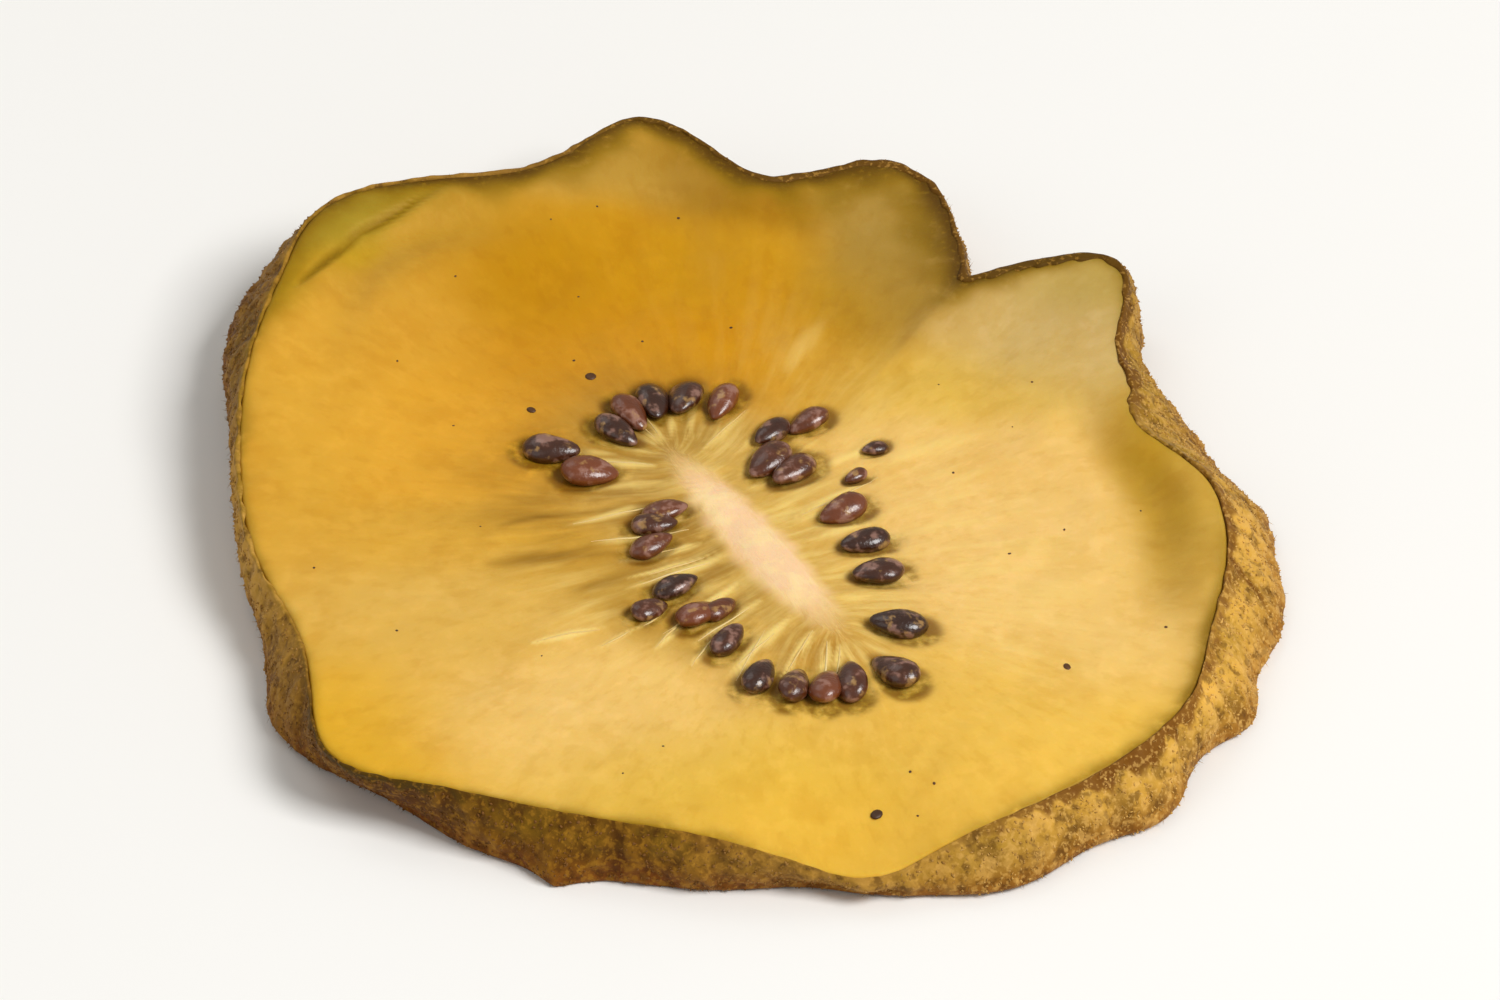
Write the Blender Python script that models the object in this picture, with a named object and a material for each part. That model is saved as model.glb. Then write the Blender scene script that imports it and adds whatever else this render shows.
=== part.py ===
"""A dried slice of kiwi fruit with its skin on, modelled in metres with +Z up.

The slice lies flat on its cut face. Its front is towards -Y, and the origin is on the surface it lies on,
under the middle of its outline. Bearings are in degrees, anticlockwise from +X, seen from above.
"""

import math
from dataclasses import dataclass
from random import Random

import bmesh
import bpy
from mathutils import Matrix, Vector, noise

MM = 0.001

# The cut through the fruit, before it shrank: an oval that is a little longer along one bearing.
OVAL_LONG = 19.7 * MM
OVAL_SHORT = 18.1 * MM
OVAL_BEARING = -52.0
# Where the oval's middle is from the origin.
OVAL_MIDDLE = Vector((-0.19 * MM, -0.19 * MM, 0.0))

# Heights over the surface that the slice lies on, and the skin wall's form.
MIDDLE_HEIGHT = 2.25 * MM
RIM_HEIGHT = 2.6 * MM
RISE_START = 0.55
FLARE = 0.35 * MM
BELLY = 0.22 * MM
TUCK = 0.28 * MM

# Small upright pleats round the skin, deeper in some patches of it than in others.
PLEATS = 31
PLEAT_DEPTH = 0.12 * MM
PLEAT_PATCH = 25.0
PLEAT_DRAW = 4.0

# The underside: a hollow in the middle, then a flat ring, then the foot of the skin.
HOLLOW_DEPTH = 0.5 * MM
HOLLOW_FLOOR = 0.5
HOLLOW_REACH = 0.68
FLAT_REACH = 0.82
# Like any dried slice it rests on three places, and curls up a little outside the triangle between them.
REST_SLOPE = 0.015

# Slow waves in both cut faces, from the flesh drying unevenly.
WAVE_LENGTH = 5.0 * MM
WAVE_HEIGHT = 0.16 * MM
UNDER_WAVE_HEIGHT = 0.08 * MM
WAVE_DRAW = 3.0
UNDER_WAVE_DRAW = 8.0

# The pith at the centre: a slit-shaped ridge.
CORE_MIDDLE = Vector((0.33 * MM, -2.6 * MM, 0.0))
CORE_BEARING = -59.5
CORE_HALF_LENGTH = 5.9 * MM
CORE_HALF_WIDTH = 1.0 * MM
CORE_RISE = 0.16 * MM

# The seeds lie on an oval ring round the core.
SEED_RING_LONG = 8.6 * MM
SEED_RING_SHORT = 4.3 * MM
# The line that a seed's thin end points to, as a part of the seed's own way along the core.
SEED_LEAN = 0.72

# A seed's width, thickness and stand over the face are parts of its length.
SEED_WIDTH = 0.6
SEED_WIDTH_SPREAD = 0.07
SEED_THICKNESS = 0.44
SEED_STAND = 0.27
UNDER_SEED_STAND = 0.14
SEED_TAPER = 0.45
SEED_TAPER_START = 0.3
SEED_ROLL = 0.3
SEED_TIP = 0.15
SEED_TURN = 0.2
SEED_DRAW = 7

# The mesh: steps round the slice, and along its section from the centre of the top to that of the underside.
STEPS_ROUND = 144
TOP_STEPS = 15
WALL_STEPS = 5
UNDER_STEPS = 8
# The steps of the top get shorter towards the edge, and those of the underside start just inside the foot.
TOP_STEP_POWER = 1.25
FOOT_INSET = 0.7
SEED_STEPS_ROUND = 8
SEED_STEPS_LONG = 5

FLESH_COLOUR = (0.72, 0.40, 0.075, 1.0)
FLESH_ROUGHNESS = 0.42


@dataclass(frozen=True)
class Swell:
    """A local change of a size round the slice: its bearing, amount in millimetres, spread and sharpness."""

    bearing: float
    amount: float
    spread: float
    sharpness: float = 2.0

    def at(self, bearing):
        away = (bearing - self.bearing + 180.0) % 360.0 - 180.0
        return self.amount * MM * math.exp(-(abs(away / self.spread) ** self.sharpness))


@dataclass(frozen=True)
class Groove:
    """A groove that follows the edge: its depth, and its middle and width as parts of the way out to the edge."""

    depth: Swell
    middle: float
    width: float


@dataclass(frozen=True)
class SeedRow:
    """Seeds at even steps from one place on the seed ring to another.

    A place is an angle round the ring and a reach, 1 being on the ring. The length is in millimetres.
    """

    first_angle: float
    last_angle: float
    first_reach: float
    last_reach: float
    count: int
    length: float


# Reach of the flesh's edge, over the oval's.
EDGE_SWELLS = (
    Swell(353, -1.5, 18),  # the flattened right-hand side
    Swell(14, -3.5, 12),  # the dent behind it
    Swell(29, -1.8, 8),
    Swell(42.5, 1.2, 6),  # the tip between the dent and the notch
    Swell(54.5, -4.4, 10.5, 1.2),  # the notch at the back
    Swell(71, 1.0, 7, 3.0),  # the corner at the left of the notch
    Swell(88, -2.1, 8),  # the shallow bay
    Swell(101, 0.9, 6),  # the peak at the very back
    Swell(116, -1.3, 10),
    Swell(138, 0.9, 9),  # the curled flap
    Swell(178, -0.7, 24),  # the straight left-hand side
    Swell(204, -0.4, 9),
    Swell(226, 2.4, 10),  # the front left corner
    Swell(241, 0.5, 9),
    Swell(260, -0.2, 14),
    Swell(283, 0.6, 6),  # the tongue of flesh at the front
    Swell(335, -0.6, 9),
)
# Height of the flesh's edge, over the plain rim.
RIM_SWELLS = (
    Swell(140, 1.6, 30),  # the curled flap
    Swell(98, 0.8, 20),
    Swell(46, 0.7, 12),  # the tip
    Swell(5, 0.5, 20),  # the crest along the dent
    Swell(283, -1.2, 11),  # the tongue, which droops over the skin
    Swell(300, -0.2, 60),
)
# How much further the foot of the skin reaches than the flesh's edge, over the plain flare.
FLARE_SWELLS = (
    Swell(346, 1.6, 13),
    Swell(12, 2.5, 13),  # the skin seen past the dent
    Swell(28, 0.5, 8),
    Swell(2, 0.4, 6),
    Swell(331, 1.1, 5),  # two bumps in the skin, with a pucker between them
    Swell(314, 1.1, 6),
    Swell(296, 1.2, 10),
    Swell(280, -0.9, 11),  # under the tongue
    Swell(250.5, 0.9, 3.2, 1.4),  # the pointed corner at the front
    Swell(227, -2.0, 9),  # under the front left corner
    Swell(211, 1.1, 9),
    Swell(180, -0.55, 17),
    Swell(152, 1.3, 11),  # the skin beside the flap
)
# Height of the foot of the skin, which leaves the surface where the rim curls up.
LIFT_SWELLS = (
    Swell(142, 1.5, 28),
    Swell(46, 0.8, 14),
)

# The places that the slice rests on: a bearing, and how many of the underside's steps it is in from the foot.
RESTS = (
    (250.0, 1),
    (345.0, 1),
    (112.5, 2),
)

GROOVES = (
    Groove(Swell(2, -0.5, 20), 0.86, 0.07),  # the channel inside the crest on the right
    Groove(Swell(138, -0.5, 17), 0.87, 0.05),  # the crease inside the flap
)

TOP_SEEDS = (
    SeedRow(-137, -135, 1.26, 1.02, 2, 2.1),
    SeedRow(-163, -219, 0.93, 1.07, 5, 1.9),
    SeedRow(124, 115, 0.98, 1.27, 2, 1.7),
    SeedRow(123, 112, 0.72, 0.78, 2, 2.0),
    SeedRow(97, 100, 1.15, 1.48, 2, 1.0),
    SeedRow(88, 57, 0.82, 0.80, 3, 1.9),
    SeedRow(31, 8, 0.90, 1.02, 2, 2.1),
    SeedRow(-13, -48, 1.00, 1.13, 4, 1.9),
    SeedRow(-59, -84, 0.97, 0.86, 3, 1.8),
    SeedRow(-66, -82, 0.76, 1.20, 2, 1.5),
    SeedRow(-104, -128, 0.78, 0.56, 3, 1.7),
)
UNDER_SEEDS = (
    SeedRow(12, 168, 0.92, 1.00, 8, 1.9),
    SeedRow(190, 350, 0.98, 0.90, 8, 1.8),
)


def total(swells, bearing):
    return sum(swell.at(bearing) for swell in swells)


def smooth(value):
    value = min(max(value, 0.0), 1.0)
    return value * value * (3.0 - 2.0 * value)


def bell(value, middle, spread):
    return math.exp(-(((value - middle) / spread) ** 2))


def edge_reach(bearing):
    """Reach of the flesh's edge from the oval's middle."""
    turn = math.radians(bearing - OVAL_BEARING)
    oval = OVAL_LONG * OVAL_SHORT / math.hypot(OVAL_SHORT * math.cos(turn), OVAL_LONG * math.sin(turn))
    return oval + total(EDGE_SWELLS, bearing)


def foot_reach(bearing):
    return edge_reach(bearing) + FLARE + total(FLARE_SWELLS, bearing)


def rim_height(bearing):
    return RIM_HEIGHT + total(RIM_SWELLS, bearing)


def in_plan(bearing, reach):
    """The point of the plan at a bearing and a reach from the oval's middle."""
    turn = math.radians(bearing)
    return Vector((reach * math.cos(turn), reach * math.sin(turn), 0.0))


def under_part(steps_in):
    """How far out a ring of the underside's mesh is, as a part of the way to the foot."""
    return (UNDER_STEPS - steps_in) / (UNDER_STEPS - FOOT_INSET)


def rest_lift(place):
    """How far the underside has curled up over a place of the plan that is outside the triangle of rests."""
    corners = [in_plan(bearing, under_part(steps_in) * foot_reach(bearing)) for bearing, steps_in in RESTS]
    outside = 0.0
    for corner, following in zip(corners, corners[1:] + corners[:1]):
        side = (following - corner).normalized()
        outside = max(outside, (place - corner).cross(side).z)
    return REST_SLOPE * outside


def foot_height(bearing):
    return total(LIFT_SWELLS, bearing) + rest_lift(in_plan(bearing, foot_reach(bearing)))


def along_core(place):
    """A place of the plan, along the core and across it, from the core's middle."""
    return Matrix.Rotation(-math.radians(CORE_BEARING), 3, "Z") @ (place - CORE_MIDDLE)


def wave(place, draw):
    return noise.noise(place / WAVE_LENGTH + Vector((0.0, 0.0, draw)))


def core_rise(place):
    own = along_core(place)
    return CORE_RISE * bell(own.x, 0.0, CORE_HALF_LENGTH) * bell(own.y, 0.0, CORE_HALF_WIDTH)


def top_height(bearing, part):
    """Height of the upper cut face at a part of the way from the middle to the edge."""
    place = in_plan(bearing, part * edge_reach(bearing))
    height = MIDDLE_HEIGHT
    height += (rim_height(bearing) - MIDDLE_HEIGHT) * smooth((part - RISE_START) / (1.0 - RISE_START))
    height += core_rise(place) + WAVE_HEIGHT * wave(place, WAVE_DRAW)
    height += sum(groove.depth.at(bearing) * bell(part, groove.middle, groove.width) for groove in GROOVES)
    return height


def under_height(bearing, part):
    """Height of the lower cut face at a part of the way from the middle to the foot."""
    place = in_plan(bearing, part * foot_reach(bearing))
    hollow = 1.0 - smooth((part - HOLLOW_FLOOR) / (HOLLOW_REACH - HOLLOW_FLOOR))
    depth = HOLLOW_DEPTH + UNDER_WAVE_HEIGHT * wave(place, UNDER_WAVE_DRAW)
    lift = smooth((part - FLAT_REACH) / (1.0 - FLAT_REACH))
    return hollow * depth + lift * total(LIFT_SWELLS, bearing) + rest_lift(place)


def wall_point(bearing, part):
    """Reach and height of the skin at a part of the way from the flesh's edge down to the foot."""
    pleat = PLEAT_DEPTH * math.sin(math.radians(PLEATS * bearing))
    pleat *= noise.noise(Vector((bearing / PLEAT_PATCH, PLEAT_DRAW, 0.0)))
    bulge = (BELLY + pleat) * math.sin(math.pi * part)
    reach = edge_reach(bearing) + (foot_reach(bearing) - edge_reach(bearing)) * part + bulge
    foot = foot_height(bearing) + TUCK
    return reach, rim_height(bearing) + (foot - rim_height(bearing)) * part


def section_point(bearing, step):
    """Reach and height of the slice's section, by steps from the middle of the top to that of the underside."""
    if step <= TOP_STEPS:
        part = 1.0 - (1.0 - step / TOP_STEPS) ** TOP_STEP_POWER
        return part * edge_reach(bearing), top_height(bearing, part)
    if step <= TOP_STEPS + WALL_STEPS:
        return wall_point(bearing, (step - TOP_STEPS) / WALL_STEPS)
    part = under_part(step - TOP_STEPS - WALL_STEPS)
    return part * foot_reach(bearing), under_height(bearing, part)


def new_object(name, mesh_builder, collection):
    """Turns a bmesh into an object in a collection."""
    mesh = bpy.data.meshes.new(name)
    mesh_builder.to_mesh(mesh)
    mesh_builder.free()
    obj = bpy.data.objects.new(name, mesh)
    collection.objects.link(obj)
    return obj


def make_slice(collection):
    """The slice without its seeds: a sphere whose rings are laid along the section at every bearing."""
    steps = TOP_STEPS + WALL_STEPS + UNDER_STEPS
    builder = bmesh.new()
    bmesh.ops.create_uvsphere(builder, u_segments=STEPS_ROUND, v_segments=steps, radius=1.0)
    for vertex in builder.verts:
        bearing = math.degrees(math.atan2(vertex.co.y, vertex.co.x)) % 360.0
        step = round(math.acos(max(-1.0, min(1.0, vertex.co.z))) / math.pi * steps)
        reach, height = section_point(bearing, step)
        vertex.co = OVAL_MIDDLE + in_plan(bearing, reach) + Vector((0.0, 0.0, height))
    return new_object("kiwi_slice", builder, collection)


def seed_places(rows):
    """The plan place, heading and length of every seed. A seed's thin end points to the core."""
    frame = Matrix.Rotation(math.radians(CORE_BEARING), 3, "Z")
    for row in rows:
        for number in range(row.count):
            part = number / max(row.count - 1, 1)
            angle = math.radians(row.first_angle + (row.last_angle - row.first_angle) * part)
            reach = row.first_reach + (row.last_reach - row.first_reach) * part
            ring = Vector((SEED_RING_LONG * math.cos(angle), SEED_RING_SHORT * math.sin(angle), 0.0)) * reach
            root = Vector((max(-CORE_HALF_LENGTH, min(CORE_HALF_LENGTH, SEED_LEAN * ring.x)), 0.0, 0.0))
            heading = frame @ (ring - root)
            yield CORE_MIDDLE + frame @ ring, math.atan2(heading.y, heading.x), row.length * MM


def face_height(place, face):
    """Height of a cut face over a place of the plan, from the oval's middle."""
    bearing = math.degrees(math.atan2(place.y, place.x)) % 360.0
    if face == "top":
        return top_height(bearing, place.length / edge_reach(bearing))
    return under_height(bearing, place.length / foot_reach(bearing))


def make_seed(name, length, draw, collection):
    """One seed at the origin: a flat drop, with its thin end towards -X."""
    builder = bmesh.new()
    bmesh.ops.create_uvsphere(builder, u_segments=SEED_STEPS_ROUND, v_segments=SEED_STEPS_LONG, radius=0.5)
    bmesh.ops.rotate(builder, verts=builder.verts, matrix=Matrix.Rotation(math.pi / 2.0, 3, "Y"))
    width = length * (SEED_WIDTH + draw.uniform(-SEED_WIDTH_SPREAD, SEED_WIDTH_SPREAD))
    thickness = length * SEED_THICKNESS
    for vertex in builder.verts:
        taper = 1.0 - SEED_TAPER * max(0.0, SEED_TAPER_START - vertex.co.x)
        vertex.co = Vector((vertex.co.x * length, vertex.co.y * width * taper, vertex.co.z * thickness * taper))
    return new_object(name, builder, collection)


def make_seeds(rows, face, draw, collection):
    """Seeds half sunk in a cut face, each one turned and tipped a little out of line."""
    for number, (place, heading, length) in enumerate(seed_places(rows)):
        seed = make_seed(f"seed_{face}_{number}", length, draw, collection)
        half = SEED_THICKNESS / 2.0
        rise = SEED_STAND - half if face == "top" else half - UNDER_SEED_STAND
        seed.location = OVAL_MIDDLE + place
        seed.location.z += face_height(place, face) + length * rise
        roll = draw.uniform(-SEED_ROLL, SEED_ROLL)
        tip = draw.uniform(-SEED_TIP, SEED_TIP)
        seed.rotation_euler = (roll, tip, heading + draw.uniform(-SEED_TURN, SEED_TURN))


def join_seeds(body, seeds):
    """Fuses the seeds to the slice, so that it stays one piece, and removes their own objects."""
    union = body.modifiers.new("seeds", "BOOLEAN")
    union.operation = "UNION"
    union.solver = "MANIFOLD"
    union.operand_type = "COLLECTION"
    union.collection = seeds
    graph = bpy.context.evaluated_depsgraph_get()
    joined = bpy.data.meshes.new_from_object(body.evaluated_get(graph))
    body.modifiers.clear()
    plain = body.data
    body.data = joined
    body.data.name = body.name
    bpy.data.meshes.remove(plain)
    for seed in list(seeds.objects):
        bpy.data.meshes.remove(seed.data)
    bpy.data.collections.remove(seeds)


def flesh_material():
    """Dried fruit: amber and a little glossy."""
    material = bpy.data.materials.new("dried_kiwi_flesh")
    material.use_nodes = True
    shader = material.node_tree.nodes["Principled BSDF"]
    shader.inputs["Base Color"].default_value = FLESH_COLOUR
    shader.inputs["Roughness"].default_value = FLESH_ROUGHNESS
    shader.inputs["Metallic"].default_value = 0.0
    return material


def new_collection(name):
    collection = bpy.data.collections.new(name)
    bpy.context.scene.collection.children.link(collection)
    return collection


def main():
    for obj in list(bpy.data.objects):
        bpy.data.objects.remove(obj)
    body = make_slice(new_collection("kiwi slice"))
    draw = Random(SEED_DRAW)
    seeds = new_collection("seeds to fuse")
    make_seeds(TOP_SEEDS, "top", draw, seeds)
    make_seeds(UNDER_SEEDS, "under", draw, seeds)
    join_seeds(body, seeds)
    body.data.materials.clear()
    body.data.materials.append(flesh_material())
    body.data.shade_smooth()


main()
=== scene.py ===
"""The looks of a dried slice of golden kiwi fruit: flesh, peel, seeds, septa, flecks, granules and down.

Sizes are in millimetres and bearings in degrees, anticlockwise from +X as seen from above. A place in the
plan is measured from the middle of the oval that the slice was before it shrank. Meshes are made in metres.
"""

import logging
import math
from collections.abc import Sequence
from dataclasses import dataclass
from enum import Enum
from functools import cached_property
from random import Random

import bpy
import numpy as np
from mathutils import Euler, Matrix, Vector, kdtree, noise


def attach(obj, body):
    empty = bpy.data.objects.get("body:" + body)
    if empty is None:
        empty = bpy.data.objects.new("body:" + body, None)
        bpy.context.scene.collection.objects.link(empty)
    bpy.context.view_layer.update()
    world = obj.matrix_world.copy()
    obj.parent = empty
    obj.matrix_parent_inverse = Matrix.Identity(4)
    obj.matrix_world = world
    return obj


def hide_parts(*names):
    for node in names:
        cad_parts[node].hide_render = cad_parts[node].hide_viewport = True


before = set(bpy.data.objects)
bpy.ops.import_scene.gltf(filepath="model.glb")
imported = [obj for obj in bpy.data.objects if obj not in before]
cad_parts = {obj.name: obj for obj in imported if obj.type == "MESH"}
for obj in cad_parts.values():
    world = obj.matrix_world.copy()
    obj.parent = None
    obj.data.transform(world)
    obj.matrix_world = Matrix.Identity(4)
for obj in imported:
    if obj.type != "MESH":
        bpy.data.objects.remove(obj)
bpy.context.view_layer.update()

Array = np.ndarray
Pair = tuple[float, float]
Triple = tuple[float, float, float]
Rgba = tuple[float, float, float, float]
Piece = bpy.types.Object
Tree = bpy.types.NodeTree
Socket = bpy.types.NodeSocket

MM = 0.001
BODY = "root"
NODE = "kiwi_slice"

log = logging.getLogger("kiwi_slice")


class Face(Enum):
    """The two cut faces."""

    TOP = "top"
    UNDER = "under"


def linear(colour: str) -> Rgba:
    """Turns an sRGB hex colour into linear values.

    Args:
        colour: a hash sign and six hex digits.

    Returns:
        Red, green, blue and alpha.
    """
    values = [int(colour[at : at + 2], 16) / 255.0 for at in (1, 3, 5)]
    red, green, blue = (v / 12.92 if v <= 0.04045 else ((v + 0.055) / 1.055) ** 2.4 for v in values)
    return red, green, blue, 1.0


def smooth(value: Array) -> Array:
    """A soft step from 0 to 1 as the value goes from 0 to 1."""
    value = np.clip(value, 0.0, 1.0)
    return value * value * (3.0 - 2.0 * value)


def band(value: Array, start: float, rise: float, end: float, fall: float) -> Array:
    """A soft band, which grows over its rise from the start on and fades over its fall from the end on."""
    return smooth((value - start) / rise) * (1.0 - smooth((value - end) / fall))


def bell(value: Array, middle: float, spread: float) -> Array:
    """A soft hump of height 1 round a middle."""
    return np.exp(-(((value - middle) / spread) ** 2))


def perlin(points: Array) -> Array:
    """Smooth noise, about -1 to 1, at points of three coordinates with patches of size 1.

    Args:
        points: an array whose last axis holds the coordinates.

    Returns:
        The noise, in the shape of the other axes.
    """
    rows = points.reshape(-1, 3).tolist()
    values = np.fromiter((noise.noise(row) for row in rows), float, len(rows))
    return values.reshape(points.shape[:-1])


def in_plan(bearing: Array, reach: Array) -> Array:
    """The plan places at bearings and reaches."""
    turn = np.radians(bearing)
    return np.stack([reach * np.cos(turn), reach * np.sin(turn)], axis=-1)


def bearing_of(place: Array) -> Array:
    """The bearings of plan places, from 0 to 360."""
    return np.degrees(np.arctan2(place[..., 1], place[..., 0])) % 360.0


def along_across(away: Array, heading: float) -> tuple[Array, Array]:
    """How far places are along a heading in radians, and how far across it."""
    x, y = away[..., 0], away[..., 1]
    return x * math.cos(heading) + y * math.sin(heading), y * math.cos(heading) - x * math.sin(heading)


@dataclass(frozen=True)
class Cloud:
    """Smooth noise over the plan: its strength, the size of its patches, and which of the patterns it is."""

    strength: float
    size: float
    draw: float

    def at(self, place: Array) -> Array:
        """The noise at each plan place."""
        level = np.full(place.shape[:-1] + (1,), self.draw)
        return self.strength * perlin(np.concatenate([place / self.size, level], axis=-1))


@dataclass(frozen=True)
class Swell:
    """A local change of a size round the slice."""

    bearing: float
    amount: float
    spread: float
    sharpness: float = 2.0

    def at(self, bearing: Array) -> Array:
        """The change at each bearing."""
        away = (bearing - self.bearing + 180.0) % 360.0 - 180.0
        return self.amount * np.exp(-(np.abs(away / self.spread) ** self.sharpness))


Swells = tuple[Swell, ...]


def swells(*rows: tuple[float, ...]) -> Swells:
    """Swells from rows of a bearing, an amount, a spread and, where it isn't 2, the sharpness."""
    return tuple(Swell(*row) for row in rows)


def total(changes: Swells, bearing: Array) -> Array:
    """The sum of some swells at each bearing."""
    return sum(swell.at(bearing) for swell in changes)


@dataclass(frozen=True)
class Groove:
    """A groove that follows the edge; its middle and width are parts of the way out to the edge."""

    depth: Swell
    middle: float
    width: float


@dataclass(frozen=True)
class SeedRow:
    """Seeds at even steps between two places, each an angle and a reach on the seed ring."""

    first_angle: float
    last_angle: float
    first_reach: float
    last_reach: float
    count: int
    length: float


@dataclass(frozen=True)
class Patch:
    """A patch of colour on the flesh: its middle, how far it reaches along its own axes, and their turn."""

    colour: str
    middle: Pair
    reach: Pair
    turn: float = 0.0
    strength: float = 1.0

    def weight(self, place: Array) -> Array:
        """How much of this patch there is at each plan place."""
        along, across = along_across(place - np.array(self.middle), math.radians(self.turn))
        return self.strength * np.exp(-((along / self.reach[0]) ** 2) - (across / self.reach[1]) ** 2)


@dataclass(frozen=True)
class Streak:
    """A streak or crease between two plan places, widest in its middle."""

    start: Pair
    end: Pair
    width: float
    strength: float = 1.0
    # How much fuller its start is than its end, and the width of the very ends as a part of the whole.
    fullness: float = 0.8
    end_width: float = 0.4

    def weight(self, place: Array) -> Array:
        """How much of the streak there is at each plan place.

        Args:
            place: plan places.

        Returns:
            0 beside the streak to its strength in its middle.
        """
        way = np.array(self.end) - np.array(self.start)
        away = place - np.array(self.start)
        along = np.clip(away @ way / (way @ way), 0.0, 1.0)
        apart = np.linalg.norm(away - along[..., None] * way, axis=-1)
        full = np.sin(math.pi * along**self.fullness)
        width = self.end_width + (1.0 - self.end_width) * full
        return self.strength * np.sqrt(full) * (1.0 - smooth(apart / self.width / width))


@dataclass(frozen=True)
class SliceForm:
    """The form of the slice, as its solid has it."""

    oval_long: float = 19.7
    oval_short: float = 18.1
    oval_bearing: float = -52.0
    oval_middle: Pair = (-0.19, -0.19)
    middle_height: float = 2.25
    rim_plain: float = 2.6
    rise_start: float = 0.55
    flare: float = 0.35
    belly: float = 0.22
    tuck: float = 0.28
    pleats: float = 31.0
    pleat_depth: float = 0.12
    pleat_patch: float = 25.0
    pleat_draw: float = 4.0
    hollow_depth: float = 0.5
    hollow_floor: float = 0.5
    hollow_reach: float = 0.68
    flat_reach: float = 0.82
    rest_slope: float = 0.015
    wave: Cloud = Cloud(0.16, 5.0, 3.0)
    under_wave: Cloud = Cloud(0.08, 5.0, 8.0)
    core_middle: Pair = (0.33, -2.6)
    core_bearing: float = -59.5
    core_half_length: float = 5.9
    core_half_width: float = 1.0
    core_rise: float = 0.16
    # Rays of the fruit leave the core at right angles and fan out; this is the half length of their slit, and
    # how far out from it they are blurred.
    ray_slit: float = 6.0
    ray_blur: float = 0.16
    ring_long: float = 8.6
    ring_short: float = 4.3
    # The three places that the slice rests on: a bearing and a part of the way out to the foot.
    rests: tuple[Pair, ...] = ((250.0, 7 / 7.3), (345.0, 7 / 7.3), (112.5, 6 / 7.3))
    edge_swells: Swells = swells(
        (353, -1.5, 18),  # the flattened right-hand side
        (14, -3.5, 12),  # the dent behind it
        (29, -1.8, 8),
        (42.5, 1.2, 6),  # the tip between the dent and the notch
        (54.5, -4.4, 10.5, 1.2),  # the notch at the back
        (71, 1.0, 7, 3.0),  # the corner at the left of the notch
        (88, -2.1, 8),  # the shallow bay
        (101, 0.9, 6),  # the peak at the very back
        (116, -1.3, 10),
        (138, 0.9, 9),  # the curled flap
        (178, -0.7, 24),  # the straight left-hand side
        (204, -0.4, 9),
        (226, 2.4, 10),  # the front left corner
        (241, 0.5, 9),
        (260, -0.2, 14),
        (283, 0.6, 6),  # the tongue of flesh at the front
        (335, -0.6, 9),
    )
    rim_swells: Swells = swells(
        (140, 1.6, 30),  # the curled flap
        (98, 0.8, 20),
        (46, 0.7, 12),  # the tip
        (5, 0.5, 20),  # the crest along the dent
        (283, -1.2, 11),  # the tongue, which droops over the peel
        (300, -0.2, 60),
    )
    flare_swells: Swells = swells(
        (346, 1.6, 13),
        (12, 2.5, 13),  # the peel seen past the dent
        (28, 0.5, 8),
        (2, 0.4, 6),
        (331, 1.1, 5),  # two bumps in the peel, with a pucker between them
        (314, 1.1, 6),
        (296, 1.2, 10),
        (280, -0.9, 11),  # under the tongue
        (250.5, 0.9, 3.2, 1.4),  # the pointed corner at the front
        (227, -2.0, 9),  # under the front left corner
        (211, 1.1, 9),
        (180, -0.55, 17),
        (152, 1.3, 11),  # the peel beside the flap
    )
    lift_swells: Swells = swells((142, 1.5, 28), (46, 0.8, 14))
    grooves: tuple[Groove, ...] = (
        Groove(Swell(2, -0.5, 20), 0.86, 0.07),  # the channel inside the crest on the right
        Groove(Swell(138, -0.5, 17), 0.87, 0.05),  # the crease inside the flap
    )

    def edge_reach(self, bearing: Array) -> Array:
        """Reach of the flesh's edge.

        Args:
            bearing: bearings.

        Returns:
            The reach at each bearing.
        """
        turn = np.radians(bearing - self.oval_bearing)
        across = np.hypot(self.oval_short * np.cos(turn), self.oval_long * np.sin(turn))
        return self.oval_long * self.oval_short / across + total(self.edge_swells, bearing)

    def foot_reach(self, bearing: Array) -> Array:
        """Reach of the peel's foot."""
        return self.edge_reach(bearing) + self.flare + total(self.flare_swells, bearing)

    def rim_height(self, bearing: Array) -> Array:
        """Height of the flesh's edge."""
        return self.rim_plain + total(self.rim_swells, bearing)

    def foot_height(self, bearing: Array) -> Array:
        """Height of the peel's foot."""
        return total(self.lift_swells, bearing) + self.rest_lift(in_plan(bearing, self.foot_reach(bearing)))

    def rest_lift(self, place: Array) -> Array:
        """How far the underside has curled up outside the triangle of the places it rests on.

        Args:
            place: plan places.

        Returns:
            The lift at each place.
        """
        at, part = np.array(self.rests).T
        corners = in_plan(at, part * self.foot_reach(at))
        outside = np.zeros(place.shape[:-1])
        for corner, following in zip(corners, np.roll(corners, -1, axis=0)):
            side = (following - corner) / np.linalg.norm(following - corner)
            away = place - corner
            outside = np.maximum(outside, away[..., 0] * side[1] - away[..., 1] * side[0])
        return self.rest_slope * outside

    def along_core(self, place: Array) -> Array:
        """Plan places as seen from the core: along it and across it."""
        away = place - np.array(self.core_middle)
        return np.stack(along_across(away, math.radians(self.core_bearing)), axis=-1)

    def from_core(self, own: Array) -> Array:
        """The plan places of places that are given along and across the core."""
        away = np.stack(along_across(own, -math.radians(self.core_bearing)), axis=-1)
        return away + np.array(self.core_middle)

    def on_ring(self, angle: Array) -> Array:
        """Places along and across the core at angles in radians on the seed ring."""
        return np.stack([self.ring_long * np.cos(angle), self.ring_short * np.sin(angle)], axis=-1)

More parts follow.
